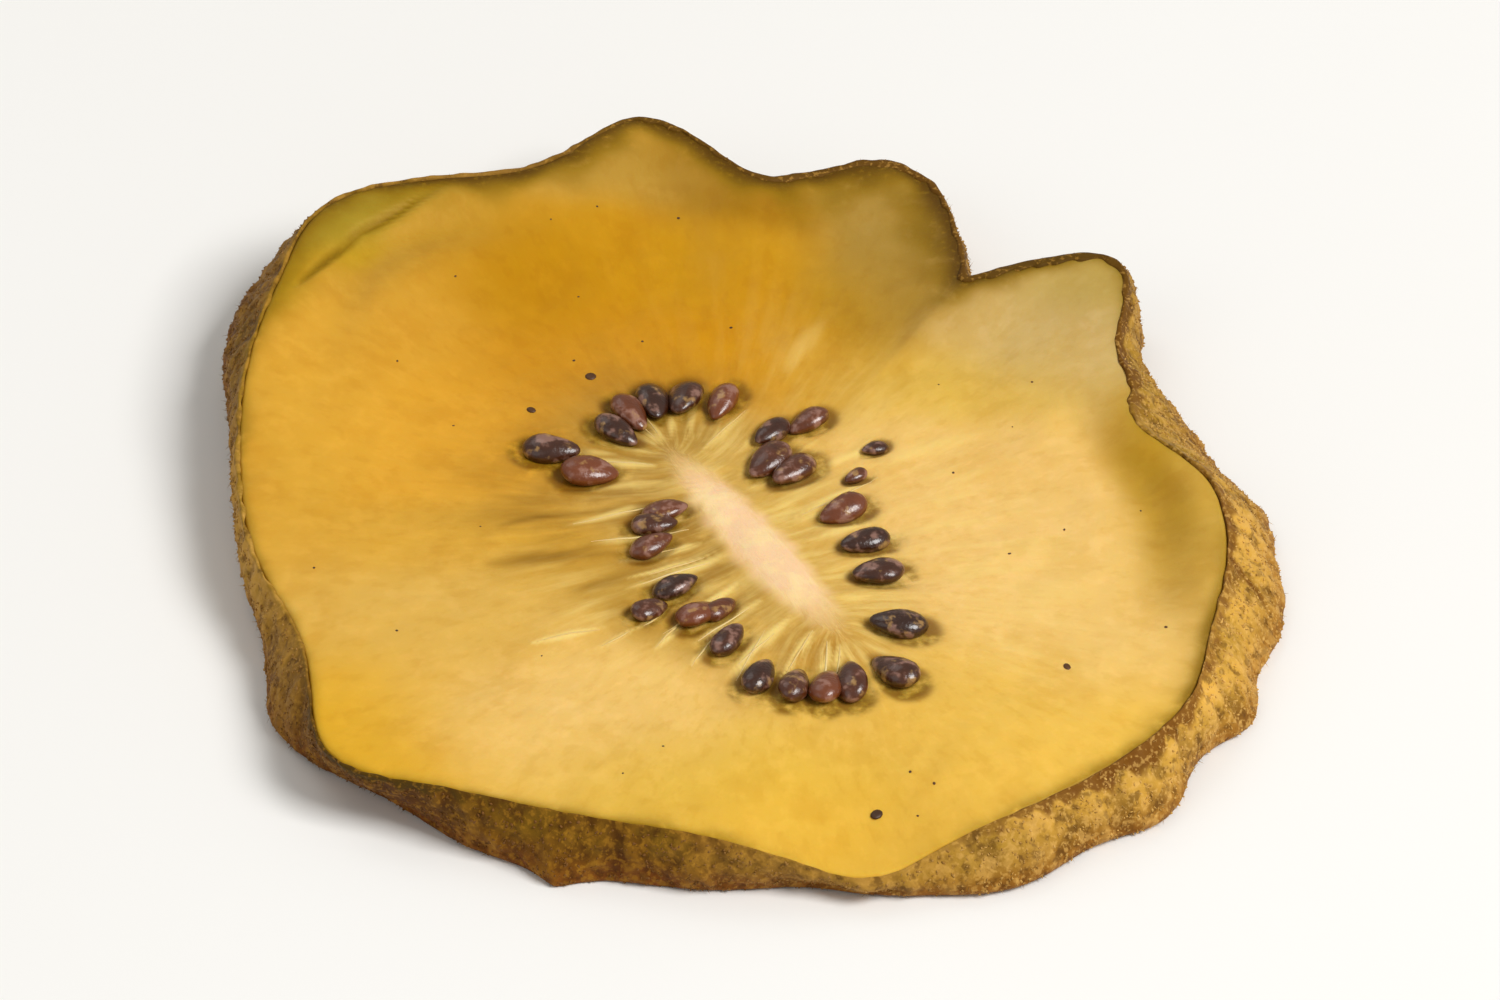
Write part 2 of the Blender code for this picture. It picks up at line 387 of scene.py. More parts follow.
    def rays(self, place: Array) -> Array:
        """Which ray of the fruit runs through each place, and how far out on it the place is.

        Args:
            place: plan places.

        Returns:
            The cosine and sine of the ray's angle, and a distance that is 0 on the core's slit.
        """
        own = self.along_core(place) / self.ray_slit
        ray = np.arccosh(own[..., 0] + 1j * own[..., 1])
        clear = smooth(ray.real / self.ray_blur)
        return np.stack([np.cos(ray.imag), np.sin(ray.imag) * clear, ray.real], axis=-1)

    def ring_part(self, place: Array) -> Array:
        """How far out each place is as a part of the way from the core's middle to the seed ring."""
        own = self.along_core(place)
        return np.hypot(own[..., 0] / self.ring_long, own[..., 1] / self.ring_short)

    def top_height(self, bearing: Array, part: Array) -> Array:
        """Height of the upper cut face.

        Args:
            bearing: bearings.
            part: parts of the way from the middle to the edge.

        Returns:
            The heights.
        """
        place = in_plan(bearing, part * self.edge_reach(bearing))
        own = self.along_core(place)
        rise = smooth((part - self.rise_start) / (1.0 - self.rise_start))
        height = self.middle_height + (self.rim_height(bearing) - self.middle_height) * rise
        core = bell(own[..., 0], 0.0, self.core_half_length) * bell(own[..., 1], 0.0, self.core_half_width)
        height = height + self.core_rise * core + self.wave.at(place)
        for groove in self.grooves:
            height = height + groove.depth.at(bearing) * bell(part, groove.middle, groove.width)
        return height

    def under_height(self, bearing: Array, part: Array) -> Array:
        """Height of the lower cut face.

        Args:
            bearing: bearings.
            part: parts of the way from the middle to the foot.

        Returns:
            The heights.
        """
        place = in_plan(bearing, part * self.foot_reach(bearing))
        hollow = 1.0 - smooth((part - self.hollow_floor) / (self.hollow_reach - self.hollow_floor))
        depth = self.hollow_depth + self.under_wave.at(place)
        lift = smooth((part - self.flat_reach) / (1.0 - self.flat_reach))
        return hollow * depth + lift * total(self.lift_swells, bearing) + self.rest_lift(place)

    def wall(self, bearing: Array, part: float) -> tuple[Array, Array]:
        """The outer face of the peel.

        Args:
            bearing: bearings.
            part: part of the way from the flesh's edge down to the foot.

        Returns:
            The reaches and the heights.
        """
        level = np.full_like(bearing, self.pleat_draw)
        patch = np.stack([bearing / self.pleat_patch, level, 0.0 * bearing], axis=-1)
        pleat = self.pleat_depth * np.sin(np.radians(self.pleats * bearing)) * perlin(patch)
        edge = self.edge_reach(bearing)
        rim = self.rim_height(bearing)
        out = (self.belly + pleat) * math.sin(math.pi * part)
        reach = edge + (self.foot_reach(bearing) - edge) * part + out
        return reach, rim + (self.foot_height(bearing) + self.tuck - rim) * part

    def face_height(self, place: Array, face: Face) -> Array:
        """Height of a cut face.

        Args:
            place: plan places.
            face: which cut face.

        Returns:
            The height at each place.
        """
        bearing, reach = bearing_of(place), np.hypot(place[..., 0], place[..., 1])
        if face is Face.TOP:
            return self.top_height(bearing, reach / self.edge_reach(bearing))
        return self.under_height(bearing, reach / self.foot_reach(bearing))

    def world(self, place: Array, height: Array) -> Array:
        """Points in metres for plan places and heights."""
        flat = place + np.array(self.oval_middle)
        return np.concatenate([flat, np.asarray(height)[..., None]], axis=-1) * MM


@dataclass(frozen=True)
class SeedPlace:
    """Where one seed lies: its face, plan place, heading in radians and length."""

    face: Face
    place: Array
    heading: float
    length: float


@dataclass(frozen=True)
class SeedRing:
    """Where the seeds lie round the core, and the septa, which are the pale walls between them."""

    form: SliceForm
    # The line that a seed's thin end points to, as a part of the seed's own way along the core.
    lean: float = 0.72
    top_rows: tuple[SeedRow, ...] = (
        SeedRow(-137, -135, 1.26, 1.02, 2, 2.1),
        SeedRow(-163, -219, 0.93, 1.07, 5, 1.9),
        SeedRow(124, 115, 0.98, 1.27, 2, 1.7),
        SeedRow(123, 112, 0.72, 0.78, 2, 2.0),
        SeedRow(97, 100, 1.15, 1.48, 2, 1.0),
        SeedRow(88, 57, 0.82, 0.80, 3, 1.9),
        SeedRow(31, 8, 0.90, 1.02, 2, 2.1),
        SeedRow(-13, -48, 1.00, 1.13, 4, 1.9),
        SeedRow(-59, -84, 0.97, 0.86, 3, 1.8),
        SeedRow(-66, -82, 0.76, 1.20, 2, 1.5),
        SeedRow(-104, -128, 0.78, 0.56, 3, 1.7),
    )
    under_rows: tuple[SeedRow, ...] = (
        SeedRow(12, 168, 0.92, 1.00, 8, 1.9),
        SeedRow(190, 350, 0.98, 0.90, 8, 1.8),
    )
    # The angle on the ring that one septum takes up where no seed is in its way, and how far it may stray.
    spacing: float = 11.0
    wobble: float = 4.0
    # Where a septum starts and ends on its ray, with 1 on the ring.
    septum_start: float = 0.3
    start_spread: float = 0.1
    septum_end: Pair = (1.05, 1.4)
    septum_width: Pair = (0.28, 0.46)
    paleness: float = 0.42
    pale_spread: float = 0.15
    pale_swells: Swells = swells((-85, 0.55, 48), (-28, 0.45, 22), (160, 0.25, 40), (100, 0.2, 25))
    draw: int = 19
    pale_streaks: tuple[Streak, ...] = (
        Streak((-7.6, -8.3), (-4.8, -7.3), 0.34, 1.0),
        Streak((-5.3, -8.6), (-3.6, -7.2), 0.22, 0.8),
        Streak((-3.9, -7.5), (-2.6, -6.0), 0.26, 1.0),
        Streak((-4.2, -4.6), (-0.8, -3.0), 0.24, 0.7),
        Streak((-1.9, -9.4), (-0.5, -6.8), 0.3, 0.9),
        Streak((-3.2, -8.6), (-1.5, -5.9), 0.3, 0.9),
        Streak((-0.5, -10.6), (0.6, -7.6), 0.28, 0.8),
        Streak((1.4, 6.6), (2.9, 9.8), 0.8, 0.34),
        Streak((2.7, 1.5), (5.2, 3.0), 0.4, 0.6),
        Streak((5.2, 1.9), (8.6, 3.4), 0.6, 0.45),
        Streak((-7.3, 2.6), (-4.4, 2.3), 0.4, 0.6),
    )
    dark_streaks: tuple[Streak, ...] = (
        Streak((-8.8, -1.9), (-3.6, -0.8), 0.65, 0.85),
        Streak((-9.2, -3.8), (-3.2, -2.8), 0.7, 0.5),
        Streak((-8.0, 0.1), (-3.4, 0.3), 0.6, 0.2),
        Streak((-6.4, -5.3), (-2.8, -3.9), 0.6, 0.5),
        Streak((-10.2, -2.6), (-6.6, -2.2), 0.8, 0.3),
    )

    @cached_property
    def seeds(self) -> list[SeedPlace]:
        """Every seed's place, in the order of the rows."""
        form = self.form
        found = []
        rows = [(Face.TOP, row) for row in self.top_rows] + [(Face.UNDER, row) for row in self.under_rows]
        for face, row in rows:
            parts = np.linspace(0.0, 1.0, row.count)
            angles = np.radians(row.first_angle + (row.last_angle - row.first_angle) * parts)
            reaches = row.first_reach + (row.last_reach - row.first_reach) * parts
            rings = form.on_ring(angles) * reaches[:, None]
            for ring, away in zip(rings, rings - self.root(rings)):
                heading = math.radians(form.core_bearing) + math.atan2(away[1], away[0])
                found.append(SeedPlace(face, form.from_core(ring), heading, row.length))
        return found

    @cached_property
    def septa(self) -> list[tuple[Face, Streak]]:
        """The septa of both faces, with the long pale streaks that run on beyond them."""
        draw = Random(self.draw)
        found = []
        for face in Face:
            for angle in self.gaps(face):
                near = self.septum_start * abs(math.sin(math.radians(angle))) ** 0.5
                start = self.ray_point(angle, near + draw.uniform(0.0, self.start_spread))
                aim = angle + draw.uniform(-self.wobble, self.wobble)
                end = self.ray_point(aim, draw.uniform(*self.septum_end))
                pale = self.paleness + float(total(self.pale_swells, angle))
                pale = pale + draw.uniform(-self.pale_spread, self.pale_spread)
                found.append((face, Streak(tuple(start), tuple(end), draw.uniform(*self.septum_width), pale)))
        return found + [(Face.TOP, streak) for streak in self.pale_streaks]

    def root(self, ring: Array) -> Array:
        """The place on the core's slit that a seed at a place points to, both along and across the core."""
        limit = self.form.core_half_length
        return np.stack([np.clip(self.lean * ring[..., 0], -limit, limit), 0.0 * ring[..., 1]], axis=-1)

    def ray_point(self, angle: float, reach: float) -> Array:
        """The plan place on the ray for an angle of the ring.

        Args:
            angle: the angle in degrees.
            reach: how far out on the ray, with 0 on the core's slit and 1 on the ring.

        Returns:
            The plan place.
        """
        ring = self.form.on_ring(math.radians(angle))
        root = self.root(ring)
        return self.form.from_core(root + reach * (ring - root))

    def ray_angle(self, place: Array) -> float:
        """The angle of the ring whose ray runs through a plan place.

        Args:
            place: one plan place.

        Returns:
            The angle in whole degrees.
        """
        angles = np.arange(0.0, 360.0)
        ring = self.form.on_ring(np.radians(angles))
        root = self.root(ring)
        way, away = ring - root, self.form.along_core(place) - root
        apart = np.abs(way[:, 0] * away[:, 1] - way[:, 1] * away[:, 0]) / np.linalg.norm(way, axis=1)
        behind = (way * away).sum(axis=1) < 0.0
        return float(angles[np.argmin(np.where(behind, np.inf, apart))])

    def gaps(self, face: Face) -> list[float]:
        """Angles of the ring where a septum runs: between the seeds, and evenly where they leave a gap.

        Args:
            face: which cut face.

        Returns:
            The angles in degrees.
        """
        at = sorted(self.ray_angle(seed.place) for seed in self.seeds if seed.face is face)
        found = []
        for here, following in zip(at, at[1:] + [at[0] + 360.0]):
            count = round((following - here) / self.spacing)
            found += [here + (following - here) * (number + 0.5) / count for number in range(count)]
        return found


def new_piece(
    name: str, points: Array, values: dict[str, Array], faces: Sequence = (), edges: Sequence = ()
) -> Piece:
    """Makes an object of points, edges and faces, with what its finish or its tree reads.

    Args:
        name: the piece's name.
        points: the vertices, in metres.
        values: for each attribute by name, a number, vector or linear colour for every vertex.
        faces: the vertex numbers of each face.
        edges: loose edges, if the piece has them.

    Returns:
        The object, in the scene.
    """
    kinds = {1: ("FLOAT", "value"), 3: ("FLOAT_VECTOR", "vector"), 4: ("FLOAT_COLOR", "color")}
    mesh = bpy.data.meshes.new(name)
    mesh.from_pydata(points.reshape(-1, 3).tolist(), edges, faces)
    mesh.update()
    if faces:
        mesh.shade_smooth()
    for label, rows in values.items():
        flat = np.asarray(rows, dtype=np.float32).ravel()
        kind, slot = kinds[len(flat) // len(mesh.vertices)]
        mesh.attributes.new(label, kind, "POINT").data.foreach_set(slot, flat)
    piece = bpy.data.objects.new(name, mesh)
    bpy.context.scene.collection.objects.link(piece)
    return piece


def ring_faces(rings: int, round_steps: int, closed: bool) -> list[tuple[int, ...]]:
    """The faces between rings of points that run anticlockwise, from the top of a shape down its outside.

    Args:
        rings: how many rings there are.
        round_steps: how many points a ring has.
        closed: whether the last ring joins the first. If not, a pole closes each end: the first pole is the
            vertex after the last ring's, and the second the one after that.

    Returns:
        The faces.
    """
    ahead = [(at + 1) % round_steps for at in range(round_steps)]
    faces: list[tuple[int, ...]] = []
    for ring in range(rings if closed else rings - 1):
        here = ring * round_steps
        below = ((ring + 1) % rings) * round_steps
        faces += [(here + at, below + at, below + ahead[at], here + ahead[at]) for at in range(round_steps)]
    if not closed:
        last, pole = (rings - 1) * round_steps, rings * round_steps
        faces += [(pole, at, ahead[at]) for at in range(round_steps)]
        faces += [(pole + 1, last + ahead[at], last + at) for at in range(round_steps)]
    return faces


def set_inputs(tree: Tree, node: bpy.types.Node, inputs: dict) -> None:
    """Sets or links some inputs of a node.

    Args:
        tree: the node tree.
        node: the node.
        inputs: a value, or the output socket to link, for each input by name or number.
    """
    for name, value in inputs.items():
        if isinstance(value, Socket):
            tree.links.new(value, node.inputs[name])
        else:
            node.inputs[name].default_value = value


def add_node(tree: Tree, kind: str, inputs: dict, output: int | str = 0, **settings: object) -> Socket | None:
    """Adds a node with its settings and links.

    Args:
        tree: the node tree.
        kind: the node's type.
        inputs: a value, or the output socket to link, for each input by name or number.
        output: which output to hand back.
        **settings: the node's own properties.

    Returns:
        The output socket, or None where the node has none.
    """
    node = tree.nodes.new(kind)
    for name, value in settings.items():
        setattr(node, name, value)
    set_inputs(tree, node, inputs)
    return node.outputs[output] if len(node.outputs) else None


Ramp = str | tuple[str, float, float, float]
Coat = tuple[str, Ramp] | tuple[str, Ramp, Ramp]


@dataclass(frozen=True)
class Finish:
    """A material: what it reads, its patterns, and the coats of colour that lie over one another.

    A ramp is the name of an attribute, a pattern or a sum, which counts as it is, or a tuple of that name,
    the values between which it grows softly, and the top that it grows to. A coat is its colour and one or
    two ramps, and lies as thick as their product. A colour is a hex value or the name of an attribute or of
    a mix.
    """

    name: str
    base: str
    coats: tuple[Coat, ...]
    # The shader's own values.
    shader: dict[str, object]
    attributes: tuple[str, ...] = ()
    # Clouds of noise: name, size, detail, and how far the noise is moved to one side.
    patterns: tuple[tuple[str, float, float, float], ...] = ()
    pattern_roughness: float = 0.5
    # Sums: name, a pattern, how many times it counts, and an attribute that it is added to.
    sums: tuple[tuple[str, str, float, str], ...] = ()
    # Mixed colours: name, base and coat.
    mixes: tuple[tuple[str, str, Coat], ...] = ()
    # Patterns that stand out from the surface, and how far.
    reliefs: tuple[tuple[str, float], ...] = ()
    growth: str = "SMOOTHSTEP"

    def material(self) -> bpy.types.Material:
        """Makes the material.

        Returns:
            The material.
        """
        material = bpy.data.materials.new(self.name)
        material.use_nodes = True
        tree = material.node_tree
        known = self.read(tree)
        values = dict(self.shader) | self.own(tree, known)
        for name, base, coat in self.mixes:
            known[name] = self.lay(tree, known, base, (coat,))
        values["Base Color"] = self.lay(tree, known, self.base, self.coats)
        for name, depth in self.reliefs:
            given = {"Strength": 1.0, "Distance": depth * MM, "Height": known[name]}
            if "Normal" in values:
                given["Normal"] = values["Normal"]
            values["Normal"] = add_node(tree, "ShaderNodeBump", given, "Normal")
        set_inputs(tree, tree.nodes["Principled BSDF"], values)
        return material

    def read(self, tree: Tree) -> dict[str, Socket]:
        """Adds the attributes, patterns and sums.

        Args:
            tree: the material's tree.

        Returns:
            Their sockets by name.
        """
        own = add_node(tree, "ShaderNodeTexCoord", {}, "Object")
        place = add_node(tree, "ShaderNodeVectorMath", {0: own, "Scale": 1.0 / MM}, operation="SCALE")
        known = {}
        for name in self.attributes:
            known[name] = add_node(tree, "ShaderNodeAttribute", {}, "Fac", attribute_name=name)
        for name, size, detail, shift in self.patterns:
            at = place
            if shift:
                at = add_node(tree, "ShaderNodeVectorMath", {0: place, 1: (shift, 0.0, 0.0)}, operation="ADD")
            given = {"Vector": at, "Scale": 1.0 / size, "Detail": detail, "Roughness": self.pattern_roughness}
            known[name] = add_node(tree, "ShaderNodeTexNoise", given)
        for name, pattern, times, attribute in self.sums:
            given = {0: known[pattern], 1: times, 2: known[attribute]}
            known[name] = add_node(tree, "ShaderNodeMath", given, operation="MULTIPLY_ADD")
        return known

    def own(self, tree: Tree, known: dict[str, Socket]) -> dict[str, object]:
        """Adds what only one finish has to the known sockets, and gives what it sets on the shader."""
        return {}

    def lay(self, tree: Tree, known: dict[str, Socket], base: str, coats: tuple[Coat, ...]) -> Socket:
        """Lays coats of colour over a base.

        Args:
            tree: the material's tree.
            known: the sockets by name.
            base: the colour under them all.
            coats: the coats, from the lowest up.

        Returns:
            The mixed colour.
        """
        colour = known[base] if base in known else linear(base)
        for over, *ramps in coats:
            parts = []
            for ramp in ramps:
                if isinstance(ramp, str):
                    parts.append(known[ramp])
                    continue
                name, low, high, top = ramp
                given = {"Value": known[name], "From Min": low, "From Max": high, "To Max": top}
                parts.append(add_node(tree, "ShaderNodeMapRange", given, interpolation_type=self.growth))
            thick = parts[0]
            if len(parts) > 1:
                thick = add_node(tree, "ShaderNodeMath", {0: parts[0], 1: parts[1]}, operation="MULTIPLY")
            given = {0: thick, 6: colour, 7: known[over] if over in known else linear(over)}
            colour = add_node(tree, "ShaderNodeMix", given, 2, data_type="RGBA")
        return colour


@dataclass(frozen=True)
class CutFlesh(Finish):
    """The finish of the cut faces: it adds rays, deeper and lighter spots, and wet hollows by the seeds,
    which are darker partly for the seeds showing through and partly as painted shade.
    """

    # Across and along the rays: broad ones about a millimetre wide at the seeds, fine ones, and short dashes.
    ray_patterns: tuple[tuple[str, Triple], ...] = (
        ("broad", (7.0, 7.0, 1.3)),
        ("fine", (19.0, 19.0, 2.6)),
        ("dash", (24.0, 24.0, 13.0)),
    )
    ray_detail: float = 3.0
    # How red, green and blue change from the plain tint to the deeper and the creamier spots.
    spots: tuple[tuple[str, Triple], ...] = (("deep", (0.88, 0.8, 0.6)), ("light", (1.08, 1.1, 1.3)))
    roughness: Pair = (0.33, 0.5)
    wet: float = 0.14

    def own(self, tree: Tree, known: dict[str, Socket]) -> dict[str, object]:
        """Adds the tint, the rays and the spots.

        Args:
            tree: the material's tree.
            known: the sockets by name, which gain these.

        Returns:
            The roughness, for the shader.
        """
        known["tint"] = add_node(tree, "ShaderNodeAttribute", {}, "Color", attribute_name="tint")
        ray = add_node(tree, "ShaderNodeAttribute", {}, "Vector", attribute_name="ray")
        for name, counts in self.ray_patterns:
            squeezed = add_node(tree, "ShaderNodeVectorMath", {0: ray, 1: counts}, operation="MULTIPLY")
            given = {"Vector": squeezed, "Scale": 1.0, "Detail": self.ray_detail}
            given["Roughness"] = self.pattern_roughness
            known[name] = add_node(tree, "ShaderNodeTexNoise", given)
        for name, change in self.spots:
            given = {0: known["tint"], 1: change}
            known[name] = add_node(tree, "ShaderNodeVectorMath", given, operation="MULTIPLY")
        ends = {"Value": known["blot"], "From Min": 0.3, "From Max": 0.7}
        ends |= {"To Min": self.roughness[0], "To Max": self.roughness[1]}
        dry = add_node(tree, "ShaderNodeMapRange", ends)
        given = {0: known["chamber"], 1: -self.wet, 2: dry}
        return {"Roughness": add_node(tree, "ShaderNodeMath", given, operation="MULTIPLY_ADD")}


PULP_GLOW: Triple = (1.0, 0.5, 0.16)

# Air-dried golden kiwi flesh, cut with a knife: satin, a little translucent, clouded, with fine rays.
FLESH_FINISH = CutFlesh(
    name="dried_kiwi_flesh",
    base="tint",
    attributes=("core", "dark", "pale", "edge", "chamber", "shade", "septum"),
    patterns=(("cloud", 2.4, 5.0, 0.0), ("blot", 0.9, 4.0, 0.0), ("grain", 0.22, 3.0, 0.0)),
    pattern_roughness=0.55,
    mixes=(
        ("hollow", "#86680A", ("#744808", ("blot", 0.4, 0.6, 1.0))),  # moss green to husk brown: the seeds showing through, and painted shade in their hollows
        ("heart", "#F8CFA0", ("#FBDCA2", ("blot", 0.42, 0.6, 0.8))),  # rosy to creamy core
    ),
    coats=(
        ("deep", ("cloud", 0.48, 0.66, 0.4)),
        ("light", ("blot", 0.5, 0.66, 0.45)),
        ("deep", ("dash", 0.52, 0.68, 0.4)),
        ("light", ("dash", 0.46, 0.3, 0.45)),
        ("#845A0E", ("broad", 0.26, 0.68, 1.0), "dark"),  # dark rays
        ("#F4D57E", ("fine", 0.4, 0.7, 1.0), "pale"),  # pale rays
        ("#9A6C1A", ("blot", 0.25, 0.6, 1.0), "shade"),  # behind the seeds
        # the seeds' hollows, darker partly for the seeds showing through and partly as painted shade
        ("hollow", ("blot", 0.3, 0.55, 1.0), ("chamber", 0.0, 1.0, 0.8)),
        ("#F4D57E", ("fine", 0.2, 0.5, 1.0), ("septum", 0.0, 0.9, 0.95)),
        ("heart", ("fine", 0.05, 0.4, 1.0), "core"),
        ("#8C6904", ("blot", 0.1, 0.5, 1.0), ("edge", 0.0, 0.6, 0.85)),  # olive towards the edge
        ("#563804", ("grain", 0.1, 0.5, 1.0), ("edge", 0.4, 0.9, 0.95)),  # brown right at it
    ),
    reliefs=(("fine", 0.02), ("grain", 0.014)),
    shader={
        "Subsurface Weight": 0.25,
        "Subsurface Radius": PULP_GLOW,
        "Subsurface Scale": 0.9 * MM,
        "Specular IOR Level": 0.3,
        "Specular Tint": linear("#FFD08A"),
    },
)
# Dried kiwi peel: thin, leathery and matt, nubbly brown with pale beige grains and dark pits, plus painted
# shade and highlight.
PEEL_FINISH = Finish(
    name="dried_kiwi_peel",
    base="#E2AC46",
    attributes=("brown_and_shade", "moss", "dark_lip_and_shade", "down", "hollow"),
    patterns=(("nub", 0.42, 4.0, 0.0), ("speck", 0.17, 2.0, 0.0), ("stain", 3.0, 3.0, 0.0)),
    sums=(("broken", "nub", 1.2, "dark_lip_and_shade"),),
    # The grains, and the colour of the dark lip and of the painted shadow line, both darker where the side is
    # painted in shade.
    mixes=(("grains", "#DFB05E", ("#A8761C", "brown_and_shade")), ("seam_dark_and_shade", "#6C3C00", ("#483400", "brown_and_shade"))),
    coats=(
        # browner, and painted shade on the sides turned from the light
        ("#583200", "brown_and_shade"),
        ("#957018", "moss"),
        ("#8C6A12", ("stain", 0.42, 0.66, 0.5)),
        ("#7C400C", ("down", 0.25, 1.0, 0.75)),  # redder towards the foot
        ("#482600", ("nub", 0.48, 0.34, 0.6)),  # pits
        # painted shade in the nubs' hollows, and a painted highlight on their crests
        ("#482600", ("hollow", 0.0, 1.0, 0.45)),
        ("grains", ("hollow", 0.0, -1.0, 0.3)),
        ("grains", ("nub", 0.52, 0.66, 0.45)),
        # the dark lip, a painted shadow line under the flesh's edge, and painted shade in the crack
        ("seam_dark_and_shade", ("broken", 0.72, 1.5, 0.9)),
        ("grains", ("speck", 0.52, 0.68, 0.45)),
    ),
    reliefs=(("speck", 0.03),),
    shader={"Roughness": 0.66, "Sheen Weight": 0.02, "Sheen Roughness": 0.5, "Specular IOR Level": 0.12},
)
# Kiwi seed coat: hard, glossy and purple-brown, finely pitted, with lilac patches painted as highlights and
# traces of dried pulp.
SEED_FINISH = Finish(
    name="kiwi_seed_coat",
    base="#301404",
    attributes=("tone",),
    patterns=(("mottle_and_highlight", 0.5, 3.0, 0.0), ("pit", 0.11, 1.0, 0.0), ("pulp", 0.5, 3.0, 40.0)),
    sums=(("brown", "mottle_and_highlight", 0.8, "tone"),),
    coats=(
        ("#743A1A", ("brown", 0.3, 1.5, 1.0)),
        # lilac patches: a painted highlight
        ("#AE8474", ("mottle_and_highlight", 0.52, 0.66, 0.5)),
        ("#B98F52", ("pulp", 0.58, 0.7, 0.6)),
    ),
    reliefs=(("pit", 0.02),),
    shader={"Roughness": 0.32, "Coat Weight": 0.45, "Coat Roughness": 0.16},
)
# Plain white paper under the slice: matt, with a faint cloud.
PAPER_FINISH = Finish(
    name="matt_white_paper",
    base="#F2F0EC",
    patterns=(("cloud", 60.0, 2.0, 0.0),),
    coats=(("#F6F5F2", "cloud"),),
    shader={"Roughness": 0.7, "Specular IOR Level": 0.2},
)


def speckle(name: str, low: str, high: str, roughness: float, glow: float = 0.0, brown_and_shade: str = "") -> Finish:
    """A finish that runs between two colours by each small piece's own tone, with a faint grain.

    Args:
        name: the material's name.
        low: its darker colour.
        high: its lighter colour.
        roughness: how rough it is.
        glow: how much light shines through it.
        brown_and_shade: its colour where the peel is browner and painted in shade, if it sits on the peel.

    Returns:
        The finish.
    """
    return Finish(
        name=name,
        base=low,
        attributes=("tone", "brown_and_shade") if brown_and_shade else ("tone",),
        patterns=(("grain", 0.15, 2.0, 0.0),),
        sums=(("lightness", "grain", 0.5, "tone"),),
        coats=((high, ("lightness", 0.2, 1.3, 1.0)),) + (((brown_and_shade, "brown_and_shade"),) if brown_and_shade else ()),
        growth="LINEAR",
        reliefs=(("grain", 0.01),),
        shader={
            "Roughness": roughness,
            "Subsurface Weight": glow,
            "Subsurface Radius": PULP_GLOW,
            "Subsurface Scale": 0.5 * MM,
        },
    )


# Septa: pale fibres of dried pulp between the seeds, waxy.
FIBRE_FINISH = speckle("dried_kiwi_septa", "#D9AE58", "#F0CE8A", 0.45, glow=0.2)
# Tiny dark pores in the flesh.
PORE_FINISH = speckle("dried_kiwi_pore", "#3B2108", "#5A3510", 0.5)
# Granules and down on the peel: dry scurf, beige to brown, without any gloss, darker where the peel is
# browner and painted in shade.
SCURF_FINISH = speckle("kiwi_peel_scurf", "#A6782A", "#DFB05A", 0.8, brown_and_shade="#744806")
DOWN_FINISH = speckle("kiwi_peel_down", "#A97E38", "#E0B666", 0.7, brown_and_shade="#7A4E0A")

SOCKET_KINDS = {int: "NodeSocketInt", float: "NodeSocketFloat", tuple: "NodeSocketVector"}


def new_tree(name: str, sizes: dict[str, object]) -> tuple[Tree, dict[str, Socket]]:
    """Starts a Geometry Nodes tree with a geometry input and output and named sizes.

    Args:
        name: the tree's name.
        sizes: the value of each size by name.

    Returns:
        The tree, and the sockets that give its geometry and its sizes.
    """
    tree = bpy.data.node_groups.new(name, "GeometryNodeTree")
    for way in ("INPUT", "OUTPUT"):
        tree.interface.new_socket("Geometry", in_out=way, socket_type="NodeSocketGeometry")
    for label, value in sizes.items():
        socket = tree.interface.new_socket(label, in_out="INPUT", socket_type=SOCKET_KINDS[type(value)])
        socket.default_value = value
    given = tree.nodes.new("NodeGroupInput")
    return tree, {label: given.outputs[label] for label in ("Geometry", *sizes)}


def run_tree(piece: Piece, tree: Tree, shapes: Socket, finish: Finish, sizes: dict[str, object]) -> None:
    """Ends a tree, runs it on a piece and keeps the result as the piece's plain mesh.

    Args:
        piece: the object that the tree reads.
        tree: the tree.
        shapes: the socket that gives the shapes.
        finish: their finish.
        sizes: the value of each size by name.
    """
    real = add_node(tree, "GeometryNodeRealizeInstances", {"Geometry": shapes})
    smoothed = add_node(tree, "GeometryNodeSetShadeSmooth", {0: real})
    given = {"Geometry": smoothed, "Material": finish.material()}
    dressed = add_node(tree, "GeometryNodeSetMaterial", given)
    add_node(tree, "NodeGroupOutput", {"Geometry": dressed})
    modifier = piece.modifiers.new(tree.name, "NODES")
    modifier.node_group = tree
    for item in tree.interface.items_tree:
        if item.in_out == "INPUT" and item.name in sizes:
            modifier[item.identifier] = sizes[item.name]
    graph = bpy.context.evaluated_depsgraph_get()
    mesh = bpy.data.meshes.new_from_object(
        piece.evaluated_get(graph), preserve_all_data_layers=True, depsgraph=graph
    )
    piece.modifiers.clear()
    old = piece.data
    piece.data = mesh
    mesh.name = piece.name
    bpy.data.meshes.remove(old)


def on_points(tree: Tree, points: Socket, shape: Socket) -> Socket:
    """Sets a shape on every point, turned and sized by the point's own attributes.

    Args:
        tree: the node tree.
        points: the socket that gives the points.
        shape: the socket that gives the shape.

    Returns:
        The socket that gives the instances.
    """
    given = {"Points": points, "Instance": shape}
    for name, label in (("Rotation", "turn"), ("Scale", "size")):
        kind = "GeometryNodeInputNamedAttribute"
        given[name] = add_node(tree, kind, {"Name": label}, data_type="FLOAT_VECTOR")
    return add_node(tree, "GeometryNodeInstanceOnPoints", given)


